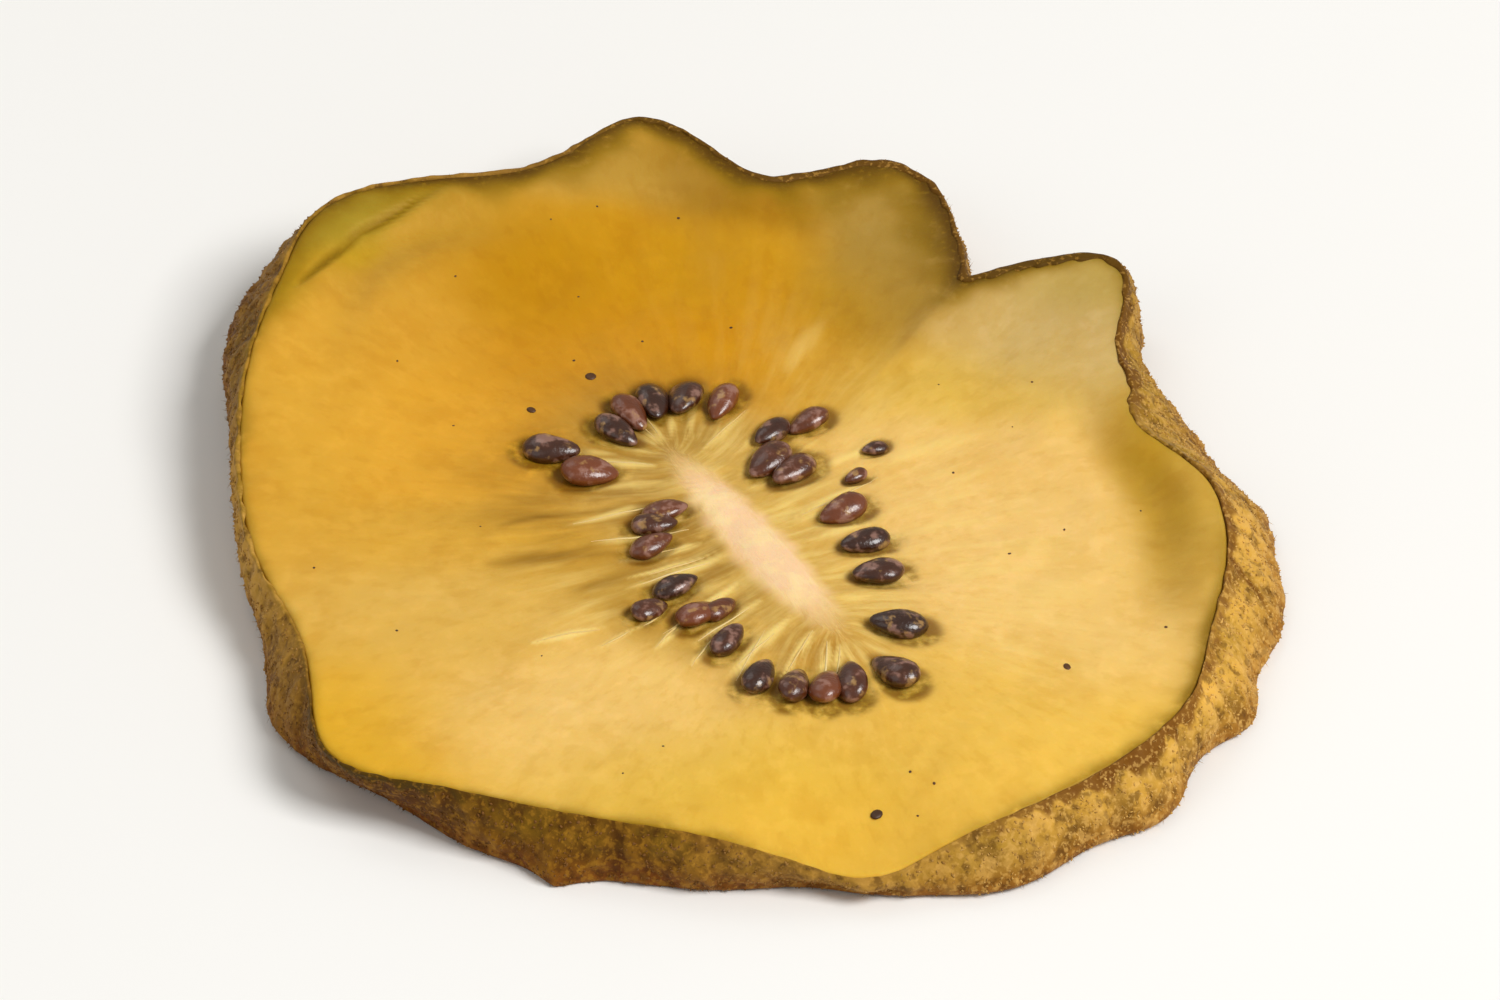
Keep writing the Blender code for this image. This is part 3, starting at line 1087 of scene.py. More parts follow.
@dataclass
class Flesh:
    """The flesh with the core: one closed body inside the peel."""

    form: SliceForm
    ring: SeedRing
    name: str = "flesh"
    steps_round: int = 480
    top_steps: int = 112
    under_steps: int = 56
    # Above 1, the rings of points come closer together towards the edge.
    step_power: float = 1.2
    shoulder: float = 0.14
    shoulder_turns: Triple = (0.5, 1.0, 1.5)
    peel_gap: float = 0.1
    wall_parts: Triple = (0.3, 0.55, 0.8)
    wall_gap: float = 0.06
    # How far out the lower face goes, as a part of the way to the foot, and how high it is over the solid's.
    under_reach: float = 0.968
    under_clear: float = 0.03
    lumps: Cloud = Cloud(0.06, 1.9, 21.0)
    grains: Cloud = Cloud(0.028, 0.75, 22.0)
    under_lumps: Cloud = Cloud(0.06, 1.9, 31.0)
    # Ridges along the rays, in a band round the core, which has sunk in a little.
    ridge_rays: Triple = (8.0, 8.0, 1.3)
    ridge_band: tuple[float, ...] = (0.2, 0.3, 1.1, 0.7)
    ray_ridge: float = 0.05
    ring_dip: float = 0.07
    # The drop-shaped hollows that the seeds sit in: length and width as parts of the seed's, taper and depth.
    chamber_length: float = 0.74
    chamber_width: float = 0.44
    chamber_taper: float = 0.45
    taper_ends: Pair = (-0.8, 0.5)
    chamber_depth: float = 0.08
    # The part of a hollow that is as deep as its middle.
    chamber_floor: float = 0.7
    septum_rise: float = 0.05
    crease_depth: float = 0.14
    # How much the crease is darkened with the rim's olive and brown, as painted shade.
    crease_shade: float = 0.62
    creases: tuple[Streak, ...] = (
        Streak((-16.1, 9.5), (-13.3, 13.4), 0.34),
        Streak((-14.4, 12.2), (-10.6, 15.5), 0.32),
    )
    # The core's half width, how much wider it gets with each millimetre along it, the half length that it
    # narrows over and how bluntly, its own half length and the length of its soft end, and how ragged and how
    # soft its sides are.
    core_width: float = 0.92
    core_growth: float = 0.03
    core_taper: float = 6.6
    core_power: float = 0.8
    core_length: float = 6.8
    core_end: float = 4.2
    core_ragged: float = 0.22
    core_rays: Triple = (9.0, 9.0, 1.0)
    core_shift: float = 40.0
    core_fade: float = 0.86
    tints: tuple[Patch, ...] = (
        Patch("#EFC474", (8.0, -2.4), (3.6, 4.5)),  # cream beside the ring
        Patch("#EEC46F", (11.5, -6.0), (3.4, 4.0)),  # and at the right
        Patch("#EBBC4B", (9.5, -13.0), (5.5, 3.2), -30),  # lemon at the lower right
        Patch("#E3B23D", (2.8, -17.2), (4.0, 1.8)),  # yellow by the tongue
        Patch("#DEB340", (-1.0, -15.0), (4.5, 2.4)),  # honey at the front
        Patch("#EDC26D", (-5.5, -12.0), (5.0, 2.8)),  # cream at the lower left
        Patch("#DEA822", (-14.0, -13.0), (3.5, 3.5)),  # gold at the left corner
        Patch("#DCAF51", (-12.0, -7.0), (4.0, 3.0)),  # straw at the left
        Patch("#D6A236", (-10.5, -2.6), (4.5, 1.6), -6),  # ochre by the dark rays
        Patch("#D7A133", (-15.3, 1.5), (2.6, 6.0)),  # orange at the left
        Patch("#E1A42F", (-11.0, 3.0), (3.0, 3.0)),  # and inside it
        Patch("#C98804", (-6.0, 8.0), (4.5, 3.6)),  # amber
        Patch("#C28B08", (-3.0, 12.3), (4.0, 2.4)),  # amber at the back
        Patch("#D09004", (-0.6, 8.3), (2.8, 2.2)),  # amber by the seeds
        Patch("#D39C31", (-12.3, 8.6), (2.8, 2.8)),  # tan at the upper left
        Patch("#B88204", (-7.6, 11.0), (2.8, 2.0)),  # tan behind the amber
        Patch("#B78E37", (-4.0, 16.4), (3.6, 1.0)),  # tan ridge at the back
        Patch("#9F6E04", (-0.5, 15.9), (2.4, 1.2), -25),  # olive of the bay
        Patch("#A88538", (5.2, 13.2), (2.0, 3.2)),  # beige shoulder
        Patch("#B38410", (3.8, 10.2), (2.0, 2.2)),  # olive beside it
        Patch("#CBAD6E", (11.2, 7.6), (2.8, 2.2)),  # pale field at the upper right
        Patch("#B69A4E", (12.6, 10.1), (2.0, 1.4)),  # pale tip
        Patch("#EBBF6A", (8.0, 1.6), (3.4, 2.4)),  # straw at the right
        Patch("#DDB345", (8.5, 5.6), (3.0, 1.8)),  # straw behind it
        Patch("#CF9F39", (3.2, 6.9), (1.8, 1.6)),  # ochre over the seeds
        Patch("#B28717", (14.8, -0.8), (1.3, 4.2), 6, 1.6),  # olive channel, darkened as painted shade in it
        Patch("#D2A846", (16.9, -1.2), (1.0, 3.4), 8, 1.6),  # crest, lightened as a painted highlight
        Patch("#9E7E00", (-16.3, 10.2), (0.9, 1.9), -30, 1.3),  # ochre end of the flap
        Patch("#9E8522", (-14.2, 13.5), (2.8, 0.9), 46, 1.8),  # khaki flap
        Patch("#B49006", (-13.9, 11.8), (1.0, 0.5), 46, 0.9),  # yellow inside the crease
        Patch("#BB902E", (-12.4, 11.6), (2.8, 1.1), 40, 0.9),  # tan beside the crease
        Patch("#E2B75C", (0.3, -2.6), (6.6, 2.6), -59.5, 2.2),  # straw round the core
        Patch("#AD7104", (2.9, -8.5), (1.2, 1.0), 0, 1.5),  # olive at the core's low end
        Patch("#A6802E", (-3.4, 3.4), (2.4, 1.3), -20, 0.9),  # olive at the upper seeds
        Patch("#BF943A", (-3.2, -6.0), (2.4, 1.4), -45, 0.8),  # ochre at the lower left seeds
    )
    field_tint: str = "#E3B24C"
    field_strength: float = 0.04
    # How the borders of the tints drift to the right and to the back.
    drifts: tuple[Cloud, Cloud] = (Cloud(0.7, 3.6, 51.0), Cloud(0.7, 3.6, 52.0))
    # Dark and pale fields by the ring: a swell by the angle on the ring, and its place and spread outwards.
    dark_fields: tuple[tuple[Swell, float, float], ...] = (
        (Swell(-112, 0.6, 17), 1.45, 0.55),
        (Swell(172, 0.35, 35), 1.15, 0.25),
    )
    pale_fields: tuple[tuple[Swell, float, float], ...] = (
        (Swell(78, 0.45, 42), 1.6, 0.6),
        (Swell(-86, 0.5, 14), 1.6, 0.4),
    )
    # How dark and how pale the rays are inside the ring, how deep the shade behind the seeds is, where it
    # lies, how large and how soft it is, and how much of a septum a hollow hides.
    inner_band: tuple[float, ...] = (0.12, 0.2, 0.7, 0.5)
    inner_dark: float = 0.2
    inner_darks: Swells = swells((-115, 0.5, 60), (80, -0.12, 50))
    inner_pale: float = 0.4
    inner_pales: Swells = swells((80, 0.25, 55))
    shade: float = 0.16
    shades: Swells = swells((-112, 0.45, 60), (165, 0.15, 30))
    shade_shape: Triple = (-0.35, 1.5, 0.9)
    septum_hidden: float = 0.6
    # The olive and brown at the rim: how far it comes in from the edge, and how strong it is.
    rim_width: float = 0.5
    rim_widths: Swells = swells(
        (78, 0.9, 24), (58, 0.5, 14), (120, 0.5, 18), (22, -0.34, 20), (215, -0.2, 30)
    )
    rim_uneven: Cloud = Cloud(0.6, 1.3, 61.0)
    rim_power: float = 1.3
    rim_tone: float = 0.6
    rim_tones: Swells = swells(
        (68, 0.5, 30), (118, 0.45, 22), (0, -0.35, 14), (27, -0.35, 13), (283, -0.5, 12), (330, 0.2, 16)
    )
    # How far in from the foot the lower face's flesh starts to show.
    under_inset: float = 0.75
    # The outlines' step in degrees, where a distance to the edge is looked up.
    outline_step: float = 0.25

    def build(self) -> Piece:
        """Makes the body, with what its finish reads.

        Returns:
            The piece.
        """
        form = self.form
        bearing = np.arange(self.steps_round) * 360.0 / self.steps_round
        edge = form.edge_reach(bearing)
        foot = form.foot_reach(bearing)
        rows: list[tuple[Array, Array]] = []
        for step in range(1, self.top_steps + 1):
            part = 1.0 - (1.0 - step / self.top_steps) ** self.step_power
            reach = part * (edge - self.shoulder - self.peel_gap)
            height = form.top_height(bearing, reach / edge)
            rows.append((reach, height + self.relief(in_plan(bearing, reach))))
        rim_reach, rim_height = rows[-1]
        for turn in self.shoulder_turns:
            drop = self.shoulder * (1.0 - math.cos(turn))
            rows.append((rim_reach + self.shoulder * math.sin(turn), rim_height - drop))
        top_rows = len(rows)
        for part in self.wall_parts:
            reach, height = form.wall(bearing, part)
            rows.append((reach - self.peel_gap - self.wall_gap, height))
        for step in range(self.under_steps):
            part = self.under_reach * (1.0 - step / self.under_steps)
            height = form.under_height(bearing, np.full_like(bearing, part))
            rows.append((part * foot, height + self.under_relief(in_plan(bearing, part * foot), part)))
        place = in_plan(bearing, np.stack([reach for reach, _ in rows]))
        points = form.world(place, np.stack([height for _, height in rows]))
        points = np.concatenate([points.reshape(-1, 3), points[[0, -1]].mean(axis=1)])
        plan = np.concatenate([place.reshape(-1, 2), place[[0, -1]].mean(axis=1)])
        top = np.append(np.repeat(np.arange(len(rows)) < top_rows, self.steps_round), [True, False])
        faces = ring_faces(len(rows), self.steps_round, closed=False)
        return new_piece(self.name, points, self.fields(plan, top), faces)

    def dress(self, piece: Piece) -> None:
        """Gives the piece its finish."""
        piece.data.materials.append(FLESH_FINISH.material())

    def relief(self, place: Array) -> Array:
        """Fine relief of the upper face: soft lumps, and rays that sink in where the seeds sit.

        Args:
            place: plan places.

        Returns:
            What to add to the height at each place.
        """
        zone = band(self.form.ring_part(place), *self.ridge_band)
        ridges = perlin(self.form.rays(place) * np.array(self.ridge_rays))
        relief = self.lumps.at(place) + self.grains.at(place)
        relief = relief + zone * (self.ray_ridge * ridges - self.ring_dip)
        relief = relief - self.crease_depth * self.crease(place)
        relief = relief + self.septum_rise * self.septum(place, Face.TOP)
        return relief - self.chamber_depth * self.chamber(place, Face.TOP)

    def under_relief(self, place: Array, part: float) -> Array:
        """Fine relief of the lower face, which stays over the face of the solid.

        Args:
            place: plan places.
            part: part of the way out to the foot.

        Returns:
            What to add to the height at each place.
        """
        lumps = np.abs(self.under_lumps.at(place)) * (1.0 - part**4)
        return self.under_clear + lumps + self.chamber_depth * self.chamber(place, Face.UNDER)

    def chamber(
        self, place: Array, face: Face, shift: float = 0.06, swell: float = 1.0, fade: float = 0.45
    ) -> Array:
        """How far inside a seed's hollow each place is.

        Args:
            place: plan places.
            face: which cut face.
            shift: how far out from the seed's middle the hollow's middle is, as a part of the seed's length.
            swell: how many times as large as it is the hollow is taken.
            fade: how softly it ends.

        Returns:
            0 outside the hollows to 1 in their middles.
        """
        found = np.zeros(place.shape[:-1])
        for seed in self.ring.seeds:
            if seed.face is face:
                along, across = along_across((place - seed.place) / seed.length, seed.heading)
                wide = self.chamber_width * (1.0 + self.chamber_taper * np.clip(along, *self.taper_ends))
                out = np.hypot((along - shift) / self.chamber_length, across / wide) / swell
                found = np.maximum(found, 1.0 - smooth((out - self.chamber_floor) / fade))
        return found

    def septum(self, place: Array, face: Face) -> Array:
        """How much of a septum or pale streak there is at each place of a face."""
        return np.max([streak.weight(place) for side, streak in self.ring.septa if side is face], axis=0)

    def crease(self, place: Array) -> Array:
        """How deep in a crease each place is, from 0 to 1."""
        return np.max([crease.weight(place) for crease in self.creases], axis=0)

    def fields(self, place: Array, top: Array) -> dict[str, Array]:
        """The colour fields and masks that the finish reads.

        Args:
            place: the plan place of each vertex.
            top: whether each vertex is on the upper face.

        Returns:
            The values of each field by name.
        """
        form = self.form
        rays = form.rays(place)
        part = form.ring_part(place)
        along, across = form.along_core(place).T
        ragged = perlin(rays * np.array(self.core_rays) + self.core_shift)
        narrow = np.clip(1.0 - (along / self.core_taper) ** 2, 0.0, 1.0) ** self.core_power
        half_width = (self.core_width + self.core_growth * along) * narrow
        core = smooth((half_width + self.core_ragged * ragged - np.abs(across)) / self.core_fade + 0.5)
        core = core * smooth((self.core_length - np.abs(along)) / self.core_end)
        inner = band(part, *self.inner_band)
        angle = np.degrees(np.arctan2(across / form.ring_short, along / form.ring_long))
        dark = (self.inner_dark + total(self.inner_darks, angle)) * inner
        dark = dark + sum(swell.at(angle) * bell(part, *zone) for swell, *zone in self.dark_fields)
        dark = dark + sum(streak.weight(place) for streak in self.ring.dark_streaks)
        pale = (self.inner_pale + total(self.inner_pales, angle)) * inner
        pale = pale + sum(swell.at(angle) * bell(part, *zone) for swell, *zone in self.pale_fields)
        chamber = np.where(top, *(self.chamber(place, face) for face in Face))
        behind = np.where(top, *(self.chamber(place, face, *self.shade_shape) for face in Face))
        septum = np.where(top, *(self.septum(place, face) for face in Face))
        septum = septum * (1.0 - self.septum_hidden * np.clip(chamber, 0.0, 1.0))
        return {
            "tint": self.tint(place),
            "ray": rays,
            "core": core,
            "dark": np.clip(dark * (1.0 - core), 0.0, 1.0),
            "pale": np.clip(pale * (1.0 - core), 0.0, 1.0),
            # The rim's olive and brown, and painted shade along the crease.
            "edge": np.maximum(self.edge_mask(place, top), self.crease_shade * self.crease(place) * top),
            "chamber": chamber,
            "shade": behind * (1.0 - core) * (self.shade + total(self.shades, angle)),
            "septum": septum * (1.0 - core),
        }

    def tint(self, place: Array) -> Array:
        """The flesh's broad colour, blended from its patches, whose borders drift.

        Args:
            place: plan places.

        Returns:
            A linear colour for each place.
        """
        drifted = place + np.stack([drift.at(place) for drift in self.drifts], axis=-1)
        weights = np.full(len(place), self.field_strength)
        colours = weights[:, None] * np.array(linear(self.field_tint))
        for patch in self.tints:
            weight = patch.weight(drifted)
            weights = weights + weight
            colours = colours + weight[:, None] * np.array(linear(patch.colour))
        return colours / weights[:, None]

    def edge_mask(self, place: Array, top: Array) -> Array:
        """How much each place has darkened for being near the edge.

        Args:
            place: plan places.
            top: whether each place is on the upper face.

        Returns:
            0 for not at all to 1 for right at the edge.
        """
        around = np.arange(0.0, 360.0, self.outline_step)
        outlines = []
        for reach in (self.form.foot_reach(around), self.form.edge_reach(around)):
            tree = kdtree.KDTree(len(around))
            for number, (x, y) in enumerate(in_plan(around, reach).tolist()):
                tree.insert((x, y, 0.0), number)
            tree.balance()
            outlines.append(tree)
        away = np.array([outlines[int(up)].find((x, y, 0.0))[2] for (x, y), up in zip(place.tolist(), top)])
        away = np.where(top, away, np.maximum(away - self.under_inset, 0.0))
        bearing = bearing_of(place)
        width = (self.rim_width + total(self.rim_widths, bearing)) * (1.0 + self.rim_uneven.at(place))
        tone = np.clip(self.rim_tone + total(self.rim_tones, bearing), 0.0, 1.0)
        return np.clip(tone * np.exp(-((away / width) ** self.rim_power)), 0.0, 1.0)


@dataclass
class Peel:
    """The peel: a thin closed band round the flesh, with a small lip at the top and a turned-in foot."""

    form: SliceForm
    name: str = "peel"
    steps_round: int = 1150
    wall_steps: int = 26
    thickness: float = 0.17
    lip_width: float = 0.1
    lip_widths: Swells = swells(
        (185, 0.05, 30), (80, 0.24, 30), (49, 0.48, 8), (18, 0.1, 16), (358, -0.04, 10), (283, -0.07, 14)
    )
    lip_uneven: Cloud = Cloud(0.8, 0.6, 71.0)
    lip_rise: float = 0.04
    rise_uneven: Cloud = Cloud(0.8, 1.2, 72.0)
    # The lip from its inner side out: how many lip widths in from the edge, how far down, how many lip rises
    # up, and how much of the nubs it has.
    lip_profile: tuple[tuple[float, ...], ...] = (
        (1.0, 0.25, 0.0, 0.0),
        (1.0, 0.0, 0.2, 0.0),
        (0.6, 0.0, 1.0, 0.2),
        (0.25, 0.0, 1.0, 0.4),
    )
    # How much of the nubs the wall has at its top, how fast they grow, and how many of its first rows carry
    # less of the scurf, and how much less.
    top_nubs: float = 0.5
    nub_growth: float = 4.0
    bare_rows: int = 2
    bareness: float = 0.5
    # Nubs and scurf on the rounded foot, and the scurf under it.
    foot_nubs: float = 0.7
    foot_crowd: float = 0.6
    under_crowd: float = 0.2
    # The rounded foot, how far the peel goes on under the flesh, and how far over the flesh's face it ends.
    foot_parts: tuple[float, ...] = (0.25, 0.5, 0.75, 1.0)
    turn_in: float = 0.7
    end_gaps: Pair = (0.01, 0.12)
    inner_parts: Triple = (0.9, 0.6, 0.3)
    lowest: float = 0.002
    # Depth and size of the peel's lumps, wrinkles and nubs.
    broad_nubs: tuple[Pair, ...] = ((0.1, 2.1), (0.1, 0.85))
    fine_nubs: tuple[Pair, ...] = ((0.09, 0.45), (0.03, 0.22))
    deepest: float = 0.12
    # Wrinkles that run down the peel: their depth, how wide and how long they are, and the radius for that.
    wrinkle: tuple[float, ...] = (0.13, 0.62, 2.2, 19.0)
    crack_bearing: float = 347.0
    crack_slant: float = -3.0
    crack_width: float = 0.7
    crack_depth: float = 0.14
    crack_length: Pair = (0.45, 0.75)
    # How much painted shade darkens the crack.
    crack_shade: float = 0.85
    # Browner and darker by bearing round the peel: partly its own brown, partly painted shade on the sides
    # turned from the light.
    brown_and_shade: float = 0.2
    brown_and_shade_swells: Swells = swells(
        (222, 0.6, 19),
        (203, 0.1, 12),
        (158, 0.5, 20),
        (256, 0.8, 26),
        (287, 0.16, 10),
        (100, 0.5, 50),
        (46, 0.45, 10),
        (330, -0.16, 35),
    )
    mosses: Swells = swells((25, 0.85, 14), (6, 0.55, 9), (308, 0.35, 9), (345, 0.3, 6))
    # Where the lip is as pale as the peel's grains, and the part of the way down that counts as the lip.
    pale_lips: Swells = swells((168, 0.95, 26), (205, 0.5, 14))
    lip_part: float = 0.02
    # Where the lip is dark, as in most of the back, and where a painted shadow line lies on the peel under
    # the flesh's edge.
    seam_darks_and_shades: Swells = swells(
        (80, 0.95, 40), (48, 0.6, 9), (28, 0.8, 14), (353, 0.7, 14), (314, 0.95, 24), (228, 0.85, 18)
    )
    darkest_seam: float = 0.95
    seam_sharpness: float = 1.5
    seam_reach: float = 0.11
    seam_reaches: Swells = swells(
        (75, 0.12, 40), (313, 0.2, 12), (332, 0.05, 10), (350, 0.1, 8), (30, 0.08, 12), (230, 0.12, 14)
    )
    seam_uneven: Cloud = Cloud(1.3, 0.6, 73.0)

    def build(self) -> Piece:
        """Makes the band, with what its finish and the scatter on it read.

        Returns:
            The piece.
        """
        form = self.form
        bearing = np.arange(self.steps_round) * 360.0 / self.steps_round
        edge, foot = form.edge_reach(bearing), form.foot_reach(bearing)
        rim, foot_height = form.rim_height(bearing), form.foot_height(bearing)
        reaches, heights, nubs, outer = zip(*self.profile(bearing))
        place, height = in_plan(bearing, np.stack(reaches)), np.stack(heights)
        fine = self.relief(place, height, self.fine_nubs) + self.wrinkles(place, height)
        push = fine + self.relief(place, height, self.broad_nubs)
        push = push - self.crack(bearing, height, rim)
        push = np.maximum(push, -self.deepest * np.tanh(-push / self.deepest)) * np.array(nubs)[:, None]
        slant = np.hypot(rim - foot_height, foot - edge)
        place = place + in_plan(bearing, push * (rim - foot_height) / slant)
        height = np.maximum(height + push * (foot - edge) / slant, self.lowest)
        down = np.clip((rim - height) / (rim - foot_height), 0.0, 1.0)
        # The dark lip, and a painted shadow line just under the flesh's edge.
        seam_dark_and_shade = self.seam_reach + total(self.seam_reaches, bearing)
        seam_dark_and_shade = seam_dark_and_shade * (1.0 + self.seam_uneven.at(in_plan(bearing, edge)))
        seam_dark_and_shade = smooth(self.seam_sharpness * (1.0 - down / seam_dark_and_shade))
        seam_dark_and_shade = np.clip(total(self.seam_darks_and_shades, bearing), 0.0, self.darkest_seam) * seam_dark_and_shade
        # Painted shade in the crack.
        crack = self.crack_shade * self.crack(bearing, height, rim) / self.crack_depth
        on_lip = down < self.lip_part
        values = {
            "brown_and_shade": np.tile(np.clip(self.brown_and_shade + total(self.brown_and_shade_swells, bearing), 0.0, 1.0), len(outer)),
            "moss": np.clip(total(self.mosses, bearing) + total(self.pale_lips, bearing) * on_lip, 0.0, 1.0),
            "dark_lip_and_shade": np.maximum(seam_dark_and_shade, crack),
            "down": down,
            # How deep each point lies in the fine nubs: the finish paints shade in their hollows and a
            # highlight on their crests.
            "hollow": np.clip(-fine / self.fine_nubs[0][0], -1.0, 1.0),
            "outer": np.repeat(outer, self.steps_round),
        }
        faces = ring_faces(len(outer), self.steps_round, closed=True)
        return new_piece(self.name, form.world(place, height), values, faces)

    def profile(self, bearing: Array) -> list[tuple[Array, Array, float, float]]:
        """The band's rings of points, from the inner side of the lip down the outside and back up inside.

        Args:
            bearing: the bearing of each point of a ring.

        Returns:
            For each ring its reaches, its heights, how much of the nubs it has and how crowded its scurf is.
        """
        form = self.form
        edge, foot = form.edge_reach(bearing), form.foot_reach(bearing)
        rim, foot_height = form.rim_height(bearing), form.foot_height(bearing)
        top = form.top_height(bearing, np.ones_like(bearing))
        lip = self.lip_width + total(self.lip_widths, bearing)
        lip = lip * (1.0 + self.lip_uneven.at(in_plan(bearing, edge)))
        rise = self.lip_rise * (1.0 + self.rise_uneven.at(in_plan(bearing, edge)))
        rows = []
        for wide, drop, up, nubs in self.lip_profile:
            rows.append((edge - wide * lip, top - drop + up * rise, nubs, 0.0))
        for step in range(self.wall_steps + 1):
            part = step / self.wall_steps
            reach, height = form.wall(bearing, part)
            nubs = min(1.0, self.top_nubs + self.nub_growth * part)
            crowd = nubs - self.bareness * (step < self.bare_rows)
            rows.append((reach, height + (top - rim) * (1.0 - part) ** 4, nubs, crowd))
        tuck = 0.5 * form.tuck
        for part in self.foot_parts:
            turn = part * math.pi / 2.0
            reach = foot - tuck * (1.0 - math.cos(turn))
            height = foot_height + form.tuck * (1.0 - math.sin(turn))
            rows.append((reach, height, self.foot_nubs * (1.0 - part), self.foot_crowd))
        end = foot - tuck - self.turn_in
        under = form.under_height(bearing, end / foot)
        height = 0.5 * (foot_height + under) + self.lowest
        rows.append((0.5 * (reach + end), height, 0.0, self.under_crowd))
        rows += [(end, under + gap, 0.0, 0.0) for gap in self.end_gaps]
        for part in self.inner_parts:
            reach, height = form.wall(bearing, part)
            rows.append((reach - self.thickness, height, 0.0, 0.0))
        return rows

    def dress(self, piece: Piece) -> None:
        """Gives the piece its finish."""
        piece.data.materials.append(PEEL_FINISH.material())

    def relief(self, place: Array, height: Array, nubs: tuple[Pair, ...]) -> Array:
        """How far each point stands out for lumps and nubs, given the depth and size of each kind."""
        solid = np.concatenate([place, height[..., None]], axis=-1)
        return sum(depth * perlin(solid / size + size) for depth, size in nubs)

    def wrinkles(self, place: Array, height: Array) -> Array:
        """Wrinkles that run down the peel.

        Args:
            place: plan places.
            height: their heights.

        Returns:
            How far each point stands out.
        """
        depth, wide, long, radius = self.wrinkle
        around = radius * place / np.linalg.norm(place, axis=-1, keepdims=True) / wide
        return depth * perlin(np.concatenate([around, height[..., None] / long], axis=-1))

    def crack(self, bearing: Array, height: Array, rim: Array) -> Array:
        """Depth of the crack in the peel, an upright slit that runs down from the lip.

        Args:
            bearing: bearing of each column of points.
            height: height of each point.
            rim: height of the rim over each column.

        Returns:
            The depth at each point.
        """
        start, end = self.crack_length
        down = (rim - height) / rim
        middle = self.crack_bearing + self.crack_slant * down
        fade = smooth((end - down) / (end - start))
        return self.crack_depth * bell(bearing, middle, self.crack_width) * fade


@dataclass
class Seeds:
    """The seeds, half sunk in both cut faces round the core, where the solid has them."""

    form: SliceForm
    ring: SeedRing
    name: str = "seeds"
    segments: int = 20
    rings: int = 12
    # Width and thickness as parts of the length; the shown seeds are a little plumper than the solid's.
    width: float = 0.6
    width_spread: float = 0.07
    plump: float = 1.16
    thickness: float = 0.44
    stand: float = 0.27
    under_stand: float = 0.14
    taper: float = 0.45
    taper_start: float = 0.3
    # How far a seed may roll, tip and turn, in radians.
    roll: float = 0.3
    tip: float = 0.15
    turn: float = 0.2
    # How uneven the seeds are, and the size of that unevenness.
    dent: float = 0.07
    dent_size: float = 0.9
    draw: int = 7

    def build(self) -> Piece:
        """Makes the points that the seeds are set on.

        Returns:
            The piece, as points so far.
        """
        points, turns, sizes, tones = [], [], [], []
        draw = Random(self.draw)
        tone = Random(self.draw + 1)
        half = self.thickness / 2.0
        for seed in self.ring.seeds:
            spread = draw.uniform(-self.width_spread, self.width_spread)
            roll, tip = draw.uniform(-self.roll, self.roll), draw.uniform(-self.tip, self.tip)
            rise = self.stand - half if seed.face is Face.TOP else half - self.under_stand
            height = float(self.form.face_height(seed.place, seed.face)) + seed.length * rise
            points.append(self.form.world(seed.place, np.array(height)))
            turns.append((roll, tip, seed.heading + draw.uniform(-self.turn, self.turn)))
            width = self.plump * (self.width + spread)
            sizes.append(seed.length * np.array([1.0, width, self.thickness]) * MM)
            tones.append(tone.random())
        return new_piece(self.name, np.array(points), {"turn": turns, "size": sizes, "tone": tones})

    def dress(self, piece: Piece) -> None:
        """Gives every point its seed, a flat drop with its thin end towards the core.

        Args:
            piece: the points, which the seeds take the place of.
        """
        sizes = {"Segments": self.segments, "Rings": self.rings, "Taper": self.taper}
        sizes["Dent"] = 2.0 * self.dent * MM
        tree, given = new_tree("seeds_on_points", sizes)
        ends = {"Segments": given["Segments"], "Rings": given["Rings"], "Radius": 0.5}
        ball = add_node(tree, "GeometryNodeMeshUVSphere", ends)
        quarter = (0.0, math.pi / 2.0, 0.0)
        lying = add_node(tree, "GeometryNodeTransform", {"Geometry": ball, "Rotation": quarter})
        spot = add_node(tree, "GeometryNodeInputPosition", {})
        along = add_node(tree, "ShaderNodeSeparateXYZ", {0: spot}, "X")
        short = add_node(tree, "ShaderNodeMath", {0: self.taper_start, 1: along}, operation="SUBTRACT")
        short = add_node(tree, "ShaderNodeMath", {0: short, 1: 0.0}, operation="MAXIMUM")
        cut = add_node(tree, "ShaderNodeMath", {0: short, 1: given["Taper"]}, operation="MULTIPLY")
        left = add_node(tree, "ShaderNodeMath", {0: 1.0, 1: cut}, operation="SUBTRACT")
        narrow = add_node(tree, "ShaderNodeCombineXYZ", {0: 1.0, 1: left, 2: left})
        drop = add_node(tree, "ShaderNodeVectorMath", {0: spot, 1: narrow}, operation="MULTIPLY")
        seed = add_node(tree, "GeometryNodeSetPosition", {"Geometry": lying, "Position": drop})
        real = add_node(tree, "GeometryNodeRealizeInstances", {0: on_points(tree, given["Geometry"], seed)})
        lumps = {"Vector": spot, "Scale": 1.0 / (self.dent_size * MM), "Detail": 1.0}
        push = add_node(tree, "ShaderNodeTexNoise", lumps)
        push = add_node(tree, "ShaderNodeMath", {0: push, 1: 0.5}, operation="SUBTRACT")
        push = add_node(tree, "ShaderNodeMath", {0: push, 1: given["Dent"]}, operation="MULTIPLY")
        outward = add_node(tree, "GeometryNodeInputNormal", {})
        dent = add_node(tree, "ShaderNodeVectorMath", {0: outward, "Scale": push}, operation="SCALE")
        uneven = add_node(tree, "GeometryNodeSetPosition", {"Geometry": real, "Offset": dent})
        run_tree(piece, tree, uneven, SEED_FINISH, sizes)


